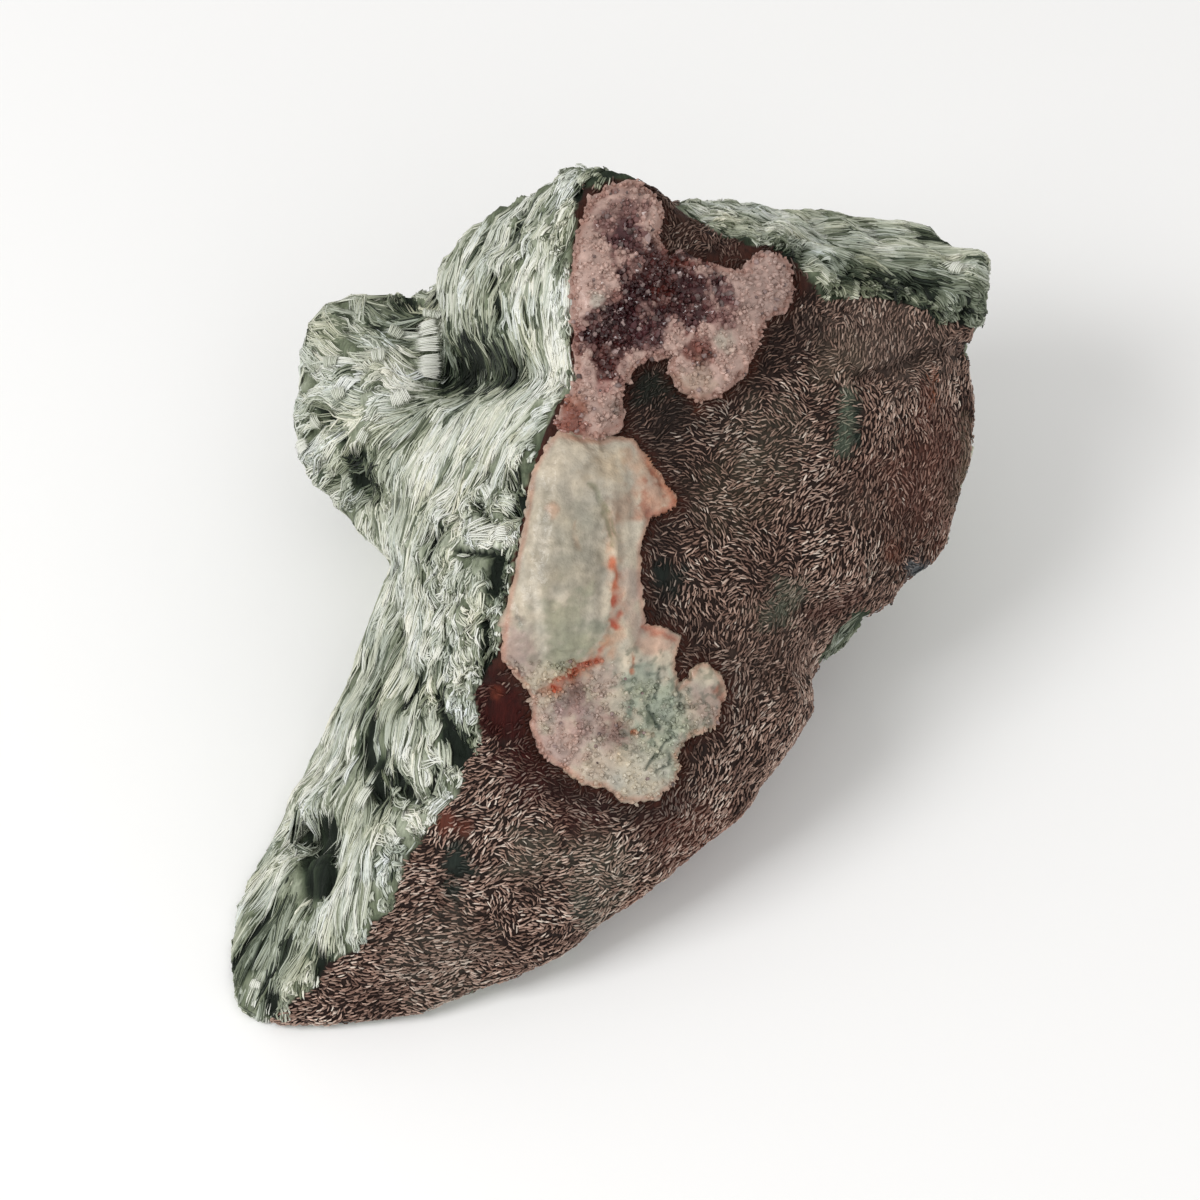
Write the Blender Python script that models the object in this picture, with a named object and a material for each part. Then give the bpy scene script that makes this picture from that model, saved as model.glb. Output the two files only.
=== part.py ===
"""A hand-sized seraphinite specimen: one broken chunk of fibrous green chlorite whose natural
brown skin carries two grown-on crusts, a rose-coloured druse and a cream tongue of calcite.

Lengths are millimetres until settle() turns them into metres. The stone is described as its
brown side is seen by someone who looks down at it: a runs right, b runs up that view and c
comes towards the eye. settle() sets it down on the table as it lies, with +Z up.
"""

import math

import bmesh
import bpy
import numpy as np
from mathutils import Vector, noise
from mathutils.bvhtree import BVHTree
from mathutils.geometry import delaunay_2d_cdt

MM = 0.001
LOOK_DOWN = math.radians(55)    # how steeply the described side is looked down at
EYE_DISTANCE = 800.0            # from the eye to the plane c = 0
LIFT = 42.5                     # height of the view's centre above the table
FLOOR_CUT = 0.9                 # rough stone worn off the underside to leave its flat foot

VOXEL = 0.9                     # grain of the raw stone before its relief is thinned out
STONE_TRIANGLES = 6400
RELIEF_RISE = 7.0               # height over which the relief grows from the table up
RIM_BLEND = 4.0                 # how soon past the rim the unseen side's relief takes over
LUMP_HEIGHT, LUMP_SIZE = 0.9, 9.0           # swells of the brown skin
BUMP_HEIGHT, BUMP_SIZE = 0.3, 3.0           # finer bumps on them
KNOT_HEIGHT, KNOT_SIZE = 0.6, 6.5           # knots that break the fibre plumes
PLUME_HEIGHT, PLUME_REACH = 1.2, 14.0       # ridges of a plume, full-grown this far from its hub
PLUME_WANDER, WANDER_SIZE = 1.6, 12.0       # how far a ridge strays, in ridges, and how slowly
BACK_SWELL = 1.5                            # the unseen side's swells
BACK_RIDGE, BACK_RIDGES, BACK_RISE = 0.8, 60, 30.0      # its ridges: height, count, growth
BACK_HUB_X, BACK_HUB_Z = -6.0, 84.0         # where they would meet, above the peak
RIDGE_SHARPNESS = 0.8                       # below 1 gives round backs and narrow clefts
CRUST_GAP = 0.3                             # clearance of a crust over the stone that carries it
CRUST_GRID = 1.5
CRUST_SINK = 4.0                            # how deep a crust's blank reaches before it is fitted
CRUST_LEAST = 0.7
DRUSE_THICK, DRUSE_HOLLOW = 2.3, 1.1        # at its rim, and over its dark hollow
DRUSE_LUMP, DRUSE_LUMP_SIZE = 0.55, 2.1
TONGUE_THICK, TONGUE_EDGE = 3.4, 1.3        # along its swell, and over its thin margin
TONGUE_LUMP, TONGUE_LUMP_SIZE = 0.5, 3.2
SWELL_LEFT, SWELL_LEAN, SWELL_HALF = -3.5, -0.06, 7.6    # the swell's middle line and half width
SWELL_FOOT, SWELL_FADE = -11.0, 8.0         # where the swell ends below, and over what length
NEVER = 1e9                                 # farther than anything on the stone

# Where front and back of the stone meet, clockwise from the peak: (a, b, c).
RIM_TOP = [
    (-4.5, 56.9, -10), (-1.5, 56.5, -9), (1.5, 55.6, -8), (5.3, 54.5, -7.5), (7.8, 53, -9),
    (9.8, 51.6, -15), (12.4, 51.5, -27), (18.2, 51.5, -35), (24.7, 50.4, -39), (32.5, 49.3, -41),
    (40.2, 48.8, -41), (45.2, 47.1, -39), (49.4, 45.8, -35),
]
RIM_RIGHT = [
    (50.8, 43.9, -31), (50.4, 40.3, -28), (48.8, 36.1, -27), (47.6, 33.2, -29),
    (47.8, 29.9, -30), (48.8, 25.4, -30), (48.5, 20.8, -30), (47.6, 15.6, -29), (46.4, 11, -28),
    (45.2, 7.5, -28), (42.6, 3.9, -28), (39.8, 2.3, -27), (38.5, -0.3, -25), (34.3, -1.6, -22),
    (33.5, -4.2, -27), (30.6, -7.8, -27), (28.3, -8.8, -24), (27.5, -11.7, -18),
]
RIM_BOTTOM = [
    (27.7, -14.3, -17), (26, -17.6, -16.5), (23.9, -21.5, -16), (19.6, -25.4, -15),
    (17.6, -28.6, -15), (13, -32.8, -14), (7.3, -37, -13), (1.3, -41.9, -12), (-5.2, -46.4, -12),
    (-9.8, -48.8, -12), (-15.6, -51, -12), (-22.1, -53.7, -11.5), (-28.6, -55.1, -11.5),
    (-39, -56, -11.5), (-43.2, -55.4, -11.5), (-44.9, -56.3, -11.5), (-47.3, -54.6, -12),
]
RIM_LEFT = [
    (-48.4, -50.7, -14.5), (-49.3, -45.5, -18), (-48.6, -41, -21), (-45.8, -35.1, -25),
    (-42.3, -29.3, -29), (-39, -23.4, -31), (-35.8, -17.6, -33), (-33, -12, -33),
    (-31.1, -9.8, -31), (-30.4, -5.2, -29), (-29.1, -1.6, -30), (-27.4, 2, -32),
    (-26.1, 4.2, -34), (-27.4, 6.1, -37), (-28.6, 7.8, -39), (-31.9, 10.4, -41),
    (-34.7, 13.5, -42), (-37.8, 15.6, -43), (-40.2, 17.7, -44), (-39.3, 19.5, -44),
    (-39.1, 23.4, -45), (-39.1, 29.3, -46), (-38.5, 33.2, -46), (-36.4, 36.8, -47),
    (-33.2, 39, -47), (-28, 39.4, -46), (-20.8, 40, -42), (-20.2, 42.3, -36),
    (-18.2, 45.9, -33), (-15.2, 49, -30), (-12, 52, -26), (-7.8, 52.8, -18), (-6.2, 54.6, -13),
]
# The sharp crest between the green broken side and the brown skin, from the peak to the toe.
CREST = [
    (-2.6, 51.4, -4), (-3.6, 45.5, -1), (-3.8, 37.7, 1), (-3.5, 31.2, 2), (-3.4, 27.6, 3),
    (-6.9, 22.1, 4), (-9.4, 15.6, 5.5), (-10.6, 7.8, 6.5), (-12.4, 0, 6.5), (-13.2, -7.2, 6.5),
    (-16.6, -11.7, 5), (-15.2, -18.9, 4), (-19.2, -26, 2.5), (-25, -33.5, 0.5), (-26, -37.7, 0),
    (-29.6, -43.2, -2.5), (-35.1, -47.8, -5.5), (-41, -52.7, -8.5),
]
# The upper plume stands over a dark pocket, and the pocket's floor is cut by a ledge.
PLUME = [
    (-7.2, 48.1, -7), (-10.4, 44.2, -12), (-15.6, 42.9, -23), (-7.8, 37.7, -4),
    (-13, 36.4, -12), (-17.6, 38.4, -24), (-9.4, 32.5, -8),
]
POCKET = [
    (-10.6, 29.4, -14), (-15.6, 30.6, -26), (-19.8, 33.8, -36), (-18.9, 28.4, -38),
    (-13.6, 28.2, -26), (-7.4, 29, -8),
]
LEDGE = [(-4.9, 27, 1), (-9.1, 26.1, -4), (-14.3, 25.8, -12), (-19.5, 25.2, -22), (-23.4, 24.6, -31)]
KNOB = [
    (-22.4, 33, -37), (-26, 35.3, -38), (-31.2, 34.2, -38), (-35.1, 28.6, -38),
    (-26.4, 28.4, -33), (-31.2, 23.4, -33), (-35.3, 19.5, -38), (-29.9, 16.9, -35),
    (-27.3, 10.4, -33), (-36.6, 33, -43),
]
MIDDLE = [
    (-13, 20.8, -7), (-19.5, 18.2, -17), (-24.7, 13, -26), (-15.6, 13, -7), (-16.9, 7.8, -1),
    (-22.1, 5.2, -13), (-24.7, 0, -22), (-18.2, -1.3, -1), (-17, -6.5, 3), (-23.4, -6.5, -13),
    (-28, -8, -22),
]
TOE = [
    (-29.9, -13, -18), (-23.4, -15.6, -6), (-19.8, -18.2, 1), (-28.6, -23.4, -10),
    (-22.8, -26, -1), (-35.1, -26, -20), (-36.2, -32.4, -27), (-32.5, -33.8, -9),
    (-39.4, -35.1, -18), (-40.3, -42.9, -14), (-33.8, -41.6, -6), (-44.9, -42.9, -17),
    (-44.2, -49.4, -12),
]
# The brown skin turns over at a shoulder into the green top, which is seen almost edge on.
SHOULDER = [
    (10.4, 49.3, -9), (15.6, 45.9, -11), (22.1, 45.6, -13), (26.2, 40.9, -13), (31.9, 38.6, -15),
    (39.7, 37.7, -20), (46.2, 35.2, -25),
]
BROW = [(13.6, 49.4, -15), (20.8, 47.6, -18), (29.4, 44.4, -20), (38.6, 42.2, -23), (46.8, 41.4, -26)]
SKIN = [
    (5.2, 23.4, 0.5), (2.6, 15.6, 3), (13, 15.6, -1), (20.8, 23.4, -5), (29.9, 33.2, -11),
    (39, 31.8, -17), (44.2, 30.2, -22), (36.4, 23.4, -12), (42.9, 19.5, -19), (28.6, 13, -8),
    (39, 9.1, -17), (33.8, 2.6, -14), (23.4, 2.6, -7), (13, 2.6, -1), (7.8, -2.6, 0),
    (18.2, -10.4, -6), (24.2, -12.4, -11), (20.8, -19.5, -10), (13, -23.4, -6),
    (5.2, -29.9, -4), (-5.2, -26, 0), (-10.4, -18.2, 0.5), (0, -39, -7.5), (-13, -39, -2.5),
    (-19.5, -33.8, 0.5), (-20.8, -45.5, -5), (-29.9, -49.4, -6.5), (-10.4, -45.5, -7.5),
    (12, 36.5, -3), (3, 40, 0), (2.5, 30, 1), (-3, 4, 5.5),
]
# The unseen side, as it lies on the table: x, y, z. The foot is the flat that it rests on.
FOOT = [
    (-44, -33), (-30, -35), (-8, -27), (14, -8), (25.5, 12), (33, 32), (33, 52), (10, 58),
    (-14, 56), (-30, 47), (-25.5, 30), (-33, 8), (-41.5, -12),
]
UNDERSIDE = [(35, 27, 13), (43, 45, 17), (-32, 42, 8)]
BACK = [
    (5, 64, 24), (-12, 58, 36), (26, 66, 21), (-20, 62, 16), (-30, 60, 12), (8, 57, 45),
    (43, 58, 18), (-2, 56, 56), (16, 65, 34),
]
# Where fibre plumes spring from: hub (a, b), then how many ridges they make in a full turn.
PLUMES = [
    ((-3.0, 28.6), 40),
    ((-29.2, -11.7), 34),
    ((-19.5, 26.6), 30),
]
DRUSE_OUTLINE = [
    (4.2, 54.3), (6.8, 53), (8.1, 50.4), (7.3, 47.5), (8.8, 44.2), (12, 43.9), (15, 43.4),
    (18.9, 42.5), (20, 44.5), (22.1, 45.4), (24.2, 43.9), (25.2, 40.6), (24.2, 38),
    (21.1, 36.5), (20.4, 33.8), (18.9, 29.9), (15.9, 26.8), (13, 26.1), (10.7, 27.6),
    (9.4, 29.6), (9.6, 31.5), (7.2, 31.9), (4.9, 30.7), (3.1, 28.6), (2.6, 26), (2.9, 22.8),
    (0, 21.5), (-3.3, 22), (-5.2, 22.6), (-4.4, 25.4), (-2.6, 28.6), (-3, 32.5), (-3.4, 37.7),
    (-3.4, 42.9), (-2.6, 47.5), (-1.2, 51.6), (1.2, 53.6),
]
TONGUE_OUTLINE = [
    (-5.4, 21.6), (-6.8, 20), (-8.7, 16.3), (-9.4, 11.7), (-10.1, 7.2), (-11.4, 1.3),
    (-12.2, -3.3), (-12.7, -7.8), (-10.1, -10.4), (-8.5, -13), (-8.7, -16.3), (-7.4, -19.8),
    (-4.6, -21.8), (-2, -23.8), (0.7, -24.1), (2.9, -26), (7.2, -25.7), (9.4, -24.1),
    (10.4, -21.8), (9.8, -20.2), (11.7, -17.6), (15.1, -16.3), (16.5, -11.7), (15.1, -9.1),
    (13, -8.1), (11.7, -10.4), (10.4, -11.4), (9.6, -8.5), (10.4, -5.2), (8.8, -3.9),
    (5.9, -3.3), (5.2, 1.3), (5.2, 7.2), (6.5, 10.8), (10.1, 12.4), (8.6, 14.6), (6.5, 17.6),
    (4.2, 20.8), (2, 21.1), (0, 20.5), (-3.3, 21),
]
# The druse is thinnest over its dark hollow: (a, b) and reach.
HOLLOWS = [((5.2, 38.5), 6.5), ((1.5, 34.5), 4.5), ((11.5, 36.5), 4.0)]


def settle(a, b, c):
    """A point of the described view, as it lies on the table, in metres."""
    spread = 1 - c / EYE_DISTANCE
    up, out = b * spread, c
    y = up * math.sin(LOOK_DOWN) - out * math.cos(LOOK_DOWN)
    z = up * math.cos(LOOK_DOWN) + out * math.sin(LOOK_DOWN) + LIFT
    return Vector((a * spread, y, z)) * MM


def seen(points):
    """The inverse of settle for an array of points in metres: columns a, b and c."""
    x, y, z = (np.asarray(points, float) / MM).T
    z = z - LIFT
    up = y * math.sin(LOOK_DOWN) + z * math.cos(LOOK_DOWN)
    c = z * math.sin(LOOK_DOWN) - y * math.cos(LOOK_DOWN)
    spread = 1 - c / EYE_DISTANCE
    return np.column_stack([x / spread, up / spread, c])


def from_table(points):
    """Points given as they lie on the table, in millimetres, as (a, b, c) triples."""
    return [tuple(row) for row in seen(np.array(points, float) * MM)]


def inside(outline, a, b):
    """True for each (a, b) that lies within a closed outline."""
    corner = np.array([p[:2] for p in outline])
    after = np.roll(corner, -1, axis=0)
    found = np.zeros(len(a), bool)
    for (a0, b0), (a1, b1) in zip(corner, after):
        crosses = (b0 > b) != (b1 > b)
        reach = np.where(crosses, (a1 - a0) * (b - b0) / ((b1 - b0) or 1e-9) + a0, 0)
        found ^= crosses & (a < reach)
    return found


def distance_to(outline, a, b):
    """How far each (a, b) is from the nearest side of a closed outline."""
    corner = np.array([p[:2] for p in outline])
    best = np.full(len(a), NEVER)
    for start, end in zip(corner, np.roll(corner, -1, axis=0)):
        side = end - start
        along = ((a - start[0]) * side[0] + (b - start[1]) * side[1]) / (side @ side)
        along = np.clip(along, 0, 1)
        best = np.minimum(best, np.hypot(a - start[0] - along * side[0], b - start[1] - along * side[1]))
    return best


def new_object(name, mesh, material=None):
    """A mesh object in the scene, wearing one material."""
    obj = bpy.data.objects.new(name, mesh)
    bpy.context.scene.collection.objects.link(obj)
    if material:
        mesh.materials.clear()
        mesh.materials.append(material)
    return obj


def finish_material(name, colour, roughness):
    """A plain mineral finish."""
    material = bpy.data.materials.new(name)
    material.use_nodes = True
    shader = material.node_tree.nodes["Principled BSDF"]
    shader.inputs["Base Color"].default_value = (*colour, 1)
    shader.inputs["Roughness"].default_value = roughness
    return material


def applied(obj):
    """The mesh of obj with its modifiers applied; obj itself is removed."""
    graph = bpy.context.evaluated_depsgraph_get()
    mesh = bpy.data.meshes.new_from_object(obj.evaluated_get(graph))
    bpy.data.objects.remove(obj)
    return mesh


def noise_of(points, size, seed):
    """Smooth noise from about -1 to 1 at each point, with swells of the given size."""
    shift = Vector((seed * 7.3, seed * 3.1, seed * 5.7))
    return np.array([noise.noise(Vector(p) / size + shift) for p in points])


def half_shell(rim, lines, scattered):
    """One side of the cage: triangles inside the rim, through every feature line and point."""
    points = list(rim)
    edges = []
    for line in lines:
        start = len(points)
        points += line
        edges += [(start + i, start + i + 1) for i in range(len(line) - 1)]
    points += scattered
    flat = [Vector(p[:2]) for p in points]
    made = delaunay_2d_cdt(flat, edges, [list(range(len(rim)))], 1, 1e-4)
    came_from = [source[0] for source in made[3]]
    return points, [[came_from[i] for i in face] for face in made[2]]


def cage_mesh():
    """The coarse stone: a front and an unseen side that share the rim."""
    rim = (RIM_TOP + RIM_RIGHT + RIM_BOTTOM + RIM_LEFT)[::-1]
    foot = from_table([(x, y, -FLOOR_CUT) for x, y in FOOT])
    front, front_faces = half_shell(
        rim, [CREST, LEDGE, SHOULDER, BROW], PLUME + POCKET + KNOB + MIDDLE + TOE + SKIN
    )
    hidden, hidden_faces = half_shell(
        rim, [foot + foot[:1]], from_table(UNDERSIDE) + from_table(BACK)
    )
    own = len(front) - len(rim)
    moved = [[i if i < len(rim) else i + own for i in face[::-1]] for face in hidden_faces]
    places = [settle(*p) for p in front + hidden[len(rim):]]
    mesh = bpy.data.meshes.new("cage")
    mesh.from_pydata(places, [], front_faces + moved)
    return mesh


def relief(points, normals):
    """How far the surface stands out at each point, in millimetres."""
    a, b, c = seen(points).T
    eye = np.array([0, -math.cos(LOOK_DOWN), math.sin(LOOK_DOWN)])
    facing = np.clip((normals @ eye) * RIM_BLEND, 0, 1)
    millimetres = np.asarray(points) / MM
    green = inside(GREEN_SIDE, a, b) | inside(GREEN_TOP, a, b)
    swell = noise_of(millimetres, LUMP_SIZE, 1)
    skin = LUMP_HEIGHT * swell + BUMP_HEIGHT * noise_of(millimetres, BUMP_SIZE, 3)
    plumes = KNOT_HEIGHT * noise_of(millimetres, KNOT_SIZE, 2) + plume_ridges(a, b, millimetres)
    back = BACK_SWELL * swell + back_ridges(millimetres)
    return facing * np.where(green, plumes, skin) + (1 - facing) * back


def plume_ridges(a, b, millimetres):
    """Ridges that fan out from the nearest plume's hub."""
    reach = np.array([np.hypot(a - hub[0], b - hub[1]) for hub, _ in PLUMES])
    nearest = reach.argmin(axis=0)
    wander = noise_of(millimetres, WANDER_SIZE, 5)
    ridge = np.zeros(len(a))
    for i, (hub, count) in enumerate(PLUMES):
        turn = np.arctan2(b - hub[1], a - hub[0]) / math.tau * count + wander * PLUME_WANDER
        grown = np.clip(reach[i] / PLUME_REACH, 0, 1)
        ridge = np.where(nearest == i, PLUME_HEIGHT * ridge_wave(turn) * grown, ridge)
    return ridge


def back_ridges(millimetres):
    """The unseen side is fibrous too: its plume falls from the peak in long low ridges."""
    x, _, z = millimetres.T
    wander = noise_of(millimetres, WANDER_SIZE, 9)
    turn = np.arctan2(x - BACK_HUB_X, BACK_HUB_Z - z) / math.tau * BACK_RIDGES + wander * PLUME_WANDER
    return BACK_RIDGE * ridge_wave(turn) * np.clip(z / BACK_RISE, 0, 1)


def ridge_wave(turn):
    """A wave from -1 to 1, one ridge for each whole turn."""
    return 2 * np.abs(np.sin(turn * math.pi)) ** RIDGE_SHARPNESS - 1


def regrained(mesh, smoothing):
    """A copy of the mesh as one even skin of VOXEL-sized faces, eased a little."""
    raw = new_object("raw_stone", mesh)
    remesh = raw.modifiers.new("grain", "REMESH")
    remesh.mode = "VOXEL"
    remesh.voxel_size = VOXEL * MM
    if smoothing:
        ease = raw.modifiers.new("ease", "SMOOTH")
        ease.iterations = smoothing
    return applied(raw)


def stone_mesh():
    """The chunk itself: cage, relief, thinning, and the flat foot cut off square."""
    mesh = regrained(cage_mesh(), 3)
    points = np.array([v.co for v in mesh.vertices])
    normals = np.array([v.normal for v in mesh.vertices])
    low = np.clip((points[:, 2] / MM - 0.5) / RELIEF_RISE, 0, 1)
    moved = points + normals * (relief(points, normals) * low * MM)[:, None]
    mesh.vertices.foreach_set("co", moved.astype(np.float32).ravel())
    mesh.update()
    mesh = regrained(mesh, 0)
    thinned = new_object("thinned_stone", mesh)
    thinning = thinned.modifiers.new("thinning", "DECIMATE")
    thinning.ratio = STONE_TRIANGLES / sum(len(p.vertices) - 2 for p in mesh.polygons)
    mesh = applied(thinned)
    shape = bmesh.new()
    shape.from_mesh(mesh)
    cut = bmesh.ops.bisect_plane(
        shape, geom=shape.verts[:] + shape.edges[:] + shape.faces[:], dist=1e-6,
        plane_co=(0, 0, 0), plane_no=(0, 0, -1), clear_outer=True,
    )
    rim = [e for e in cut["geom_cut"] if isinstance(e, bmesh.types.BMEdge)]
    bmesh.ops.holes_fill(shape, edges=rim, sides=0)
    bmesh.ops.triangulate(shape, faces=shape.faces[:])
    shape.to_mesh(mesh)
    shape.free()
    return mesh


def crust_mesh(outline, thickness, stone):
    """A blank that sinks into the stone and stands over it by thickness(a, b, inset)."""
    low = np.array(outline).min(axis=0)
    high = np.array(outline).max(axis=0)
    grid = np.array([
        (x + (row % 2) * CRUST_GRID / 2, y)
        for row, y in enumerate(np.arange(low[1], high[1], CRUST_GRID * 0.87))
        for x in np.arange(low[0], high[0], CRUST_GRID)
    ])
    a, b = grid.T
    grid = grid[inside(outline, a, b) & (distance_to(outline, a, b) > CRUST_GRID * 0.6)]
    rim = list(outline[::-1])
    flat = [Vector(p) for p in rim] + [Vector(p) for p in grid]
    made = delaunay_2d_cdt(flat, [], [list(range(len(rim)))], 1, 1e-4)
    a, b = np.array([tuple(p) for p in made[0]]).T
    inset = distance_to(outline, a, b)
    tree = BVHTree.FromPolygons([v.co for v in stone.vertices], [p.vertices[:] for p in stone.polygons])
    heights = np.array([height_on(tree, *p) for p in zip(a, b)])
    top = [settle(*p) for p in zip(a, b, heights + thickness(a, b, inset))]
    sunk = [settle(*p) for p in zip(a, b, heights - CRUST_SINK)]
    count = len(top)
    edges = {edge for face in made[2] for edge in zip(face, face[1:] + face[:1])}
    border = sorted(edge for edge in edges if edge[::-1] not in edges)
    faces = [list(face) for face in made[2]]
    faces += [[i + count for i in face[::-1]] for face in made[2]]
    faces += [[end, start, start + count, end + count] for start, end in border]
    mesh = bpy.data.meshes.new("crust")
    mesh.from_pydata(top + sunk, [], faces)
    return mesh


def height_on(tree, a, b):
    """Depth c of the stone's surface where the line of sight through (a, b) meets it."""
    eye = settle(a, b, 60)
    hit = tree.ray_cast(eye, settle(a, b, 0) - eye)[0]
    return -10 if hit is None else seen([hit])[0][2]


def druse_thickness(a, b, inset):
    """The druse stands proud at its rim and sinks over its dark hollow, in small lumps."""
    thick = DRUSE_THICK * np.clip(0.35 + inset / 1.6, 0, 1)
    for (hollow_a, hollow_b), reach in HOLLOWS:
        near = np.clip(1 - np.hypot(a - hollow_a, b - hollow_b) / reach, 0, 1)
        thick -= (DRUSE_THICK - DRUSE_HOLLOW) * near * (2 - near) * 0.6
    lumps = DRUSE_LUMP * noise_of(np.column_stack([a, b, 0 * a]), DRUSE_LUMP_SIZE, 4)
    return np.maximum(thick + lumps, CRUST_LEAST)


def tongue_thickness(a, b, inset):
    """The tongue is a long smooth swell between a thin ragged margin and its lower lobes."""
    across = (a - SWELL_LEFT - SWELL_LEAN * b) / SWELL_HALF
    swell = np.clip(1 - across ** 2, 0, 1) * np.clip((b - SWELL_FOOT) / SWELL_FADE, 0, 1)
    thick = TONGUE_EDGE * np.clip(0.4 + inset / 1.4, 0, 1)
    thick += (TONGUE_THICK - TONGUE_EDGE) * swell * np.clip(inset / 3, 0, 1)
    lumps = TONGUE_LUMP * noise_of(np.column_stack([a, b, 0 * a]), TONGUE_LUMP_SIZE, 6)
    return np.maximum(thick + lumps * np.clip(inset / 2, 0, 1), CRUST_LEAST)


def largest_piece(mesh):
    """Leaves only the biggest connected piece: a fit drops crumbs along a thin margin."""
    shape = bmesh.new()
    shape.from_mesh(mesh)
    unseen = set(shape.verts)
    pieces = []
    while unseen:
        front = [unseen.pop()]
        piece = list(front)
        while front:
            near = {e.other_vert(v) for v in front for e in v.link_edges} & unseen
            unseen -= near
            front = list(near)
            piece += front
        pieces.append(piece)
    pieces.sort(key=len)
    bmesh.ops.delete(shape, geom=[v for piece in pieces[:-1] for v in piece], context="VERTS")
    shape.to_mesh(mesh)
    shape.free()


def lay_crust(name, outline, thickness, stone, material):
    """A crust fitted to the stone: a blank less a copy of the stone moved CRUST_GAP out."""
    blank = new_object(name + "_blank", crust_mesh(outline, thickness, stone))
    bed = new_object(name + "_bed", stone.copy())
    bed.location = settle(0, 0, CRUST_GAP) - settle(0, 0, 0)
    fit = blank.modifiers.new("bed", "BOOLEAN")
    fit.operation = "DIFFERENCE"
    fit.object = bed
    mesh = applied(blank)
    bpy.data.objects.remove(bed)
    largest_piece(mesh)
    return new_object(name, mesh, material)


GREEN_SIDE = CREST + RIM_LEFT
GREEN_TOP = SHOULDER + [(50.8, 36.1)] + RIM_RIGHT[:1] + RIM_TOP[::-1][:8]


def main():
    """Clears the scene and builds the stone and its two crusts."""
    for old in list(bpy.data.objects):
        bpy.data.objects.remove(old)
    chlorite = finish_material("chlorite", (0.36, 0.40, 0.31), 0.55)
    rose = finish_material("rose_druse", (0.34, 0.22, 0.19), 0.35)
    cream = finish_material("cream_calcite", (0.50, 0.44, 0.35), 0.5)
    stone = new_object("seraphinite", stone_mesh(), chlorite)
    lay_crust("rose_druse", DRUSE_OUTLINE, druse_thickness, stone.data, rose)
    lay_crust("calcite_tongue", TONGUE_OUTLINE, tongue_thickness, stone.data, cream)


main()
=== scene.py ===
"""The looks of a hand-sized seraphinite specimen: silvery green fibre plumes, a brown skin of
worm-shaped grains, and two crusts grown over the crest between them, a rose druse and a cream
tongue of calcite. Lengths are metres, except where a name or comment says millimetres.
"""

import math

import bmesh
import bpy
import numpy as np
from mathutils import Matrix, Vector, noise
from mathutils.bvhtree import BVHTree
from mathutils.kdtree import KDTree


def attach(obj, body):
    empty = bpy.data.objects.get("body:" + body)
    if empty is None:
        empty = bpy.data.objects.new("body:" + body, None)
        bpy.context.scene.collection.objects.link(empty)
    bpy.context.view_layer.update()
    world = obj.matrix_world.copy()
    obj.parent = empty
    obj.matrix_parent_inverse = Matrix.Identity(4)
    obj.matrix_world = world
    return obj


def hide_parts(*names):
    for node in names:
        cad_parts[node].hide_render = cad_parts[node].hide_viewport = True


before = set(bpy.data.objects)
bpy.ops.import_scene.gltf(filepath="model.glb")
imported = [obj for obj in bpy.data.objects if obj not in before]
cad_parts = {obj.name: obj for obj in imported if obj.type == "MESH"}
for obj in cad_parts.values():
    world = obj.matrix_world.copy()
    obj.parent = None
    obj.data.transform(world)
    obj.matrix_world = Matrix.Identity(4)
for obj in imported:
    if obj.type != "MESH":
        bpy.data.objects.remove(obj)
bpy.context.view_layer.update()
bpy.ops.object.select_all(action="DESELECT")

# The view. The specimen lies on a pale table and is looked down on, its brown skin towards the
# eye and its green side to the left. The window light is soft and comes from the upper left.
LOOK_DOWN = math.radians(55)
EYE_DISTANCE = 0.8
VIEW_CENTRE = Vector((0, 0, 0.0425))
VIEW_WIDTH = 0.156
SENSOR = 36.0
TO_EYE = Vector((0, -math.cos(LOOK_DOWN), math.sin(LOOK_DOWN)))
UP_VIEW = Vector((0, math.sin(LOOK_DOWN), math.cos(LOOK_DOWN)))
RIGHT = Vector((1, 0, 0))

bpy.ops.object.camera_add(
    location=VIEW_CENTRE + TO_EYE * EYE_DISTANCE, rotation=(math.pi / 2 - LOOK_DOWN, 0, 0)
)
camera = bpy.context.object
camera.name = "camera"
camera.data.sensor_width = SENSOR
camera.data.lens = SENSOR * EYE_DISTANCE / VIEW_WIDTH
bpy.context.scene.camera = camera

for name, place, size, watts in [
    ("window_light", (-0.50, -0.22, 0.65), 0.4, 3.4),
    ("room_light", (0.45, -0.55, 0.55), 0.8, 1.5),
]:
    bpy.ops.object.light_add(type="AREA", location=place)
    light = bpy.context.object
    light.name = name
    light.data.size = size
    light.data.energy = watts
    light.rotation_euler = (Vector(place) - VIEW_CENTRE).to_track_quat("Z", "Y").to_euler()

world = bpy.data.worlds.new("pale_room")
world.use_nodes = True
world.node_tree.nodes["Background"].inputs["Color"].default_value = (1, 0.99, 0.97, 1)
world.node_tree.nodes["Background"].inputs["Strength"].default_value = 0.6
bpy.context.scene.world = world
bpy.context.scene.view_settings.view_transform = "Standard"

bpy.ops.mesh.primitive_plane_add(size=4)
table = bpy.context.object
table.name = "table"
table_top = bpy.data.materials.new("pale_table")
table_top.use_nodes = True
table_shader = table_top.node_tree.nodes["Principled BSDF"]
table_shader.inputs["Base Color"].default_value = (0.98, 0.98, 0.98, 1)
table_shader.inputs["Roughness"].default_value = 0.7
table.data.materials.append(table_top)
bpy.ops.object.select_all(action="DESELECT")

# The stone is one broken chunk of chlorite. Its green side and back split along the fibres, and
# its brown skin weathered in low swells. It takes its form from the solid, then the finer lumps,
# ridges and pits. The places below are in millimetres in the view: a right, b up, c to the eye.
MM = 0.001
GRAIN = 0.61 * MM
WELD = 0.01 * MM
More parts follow.
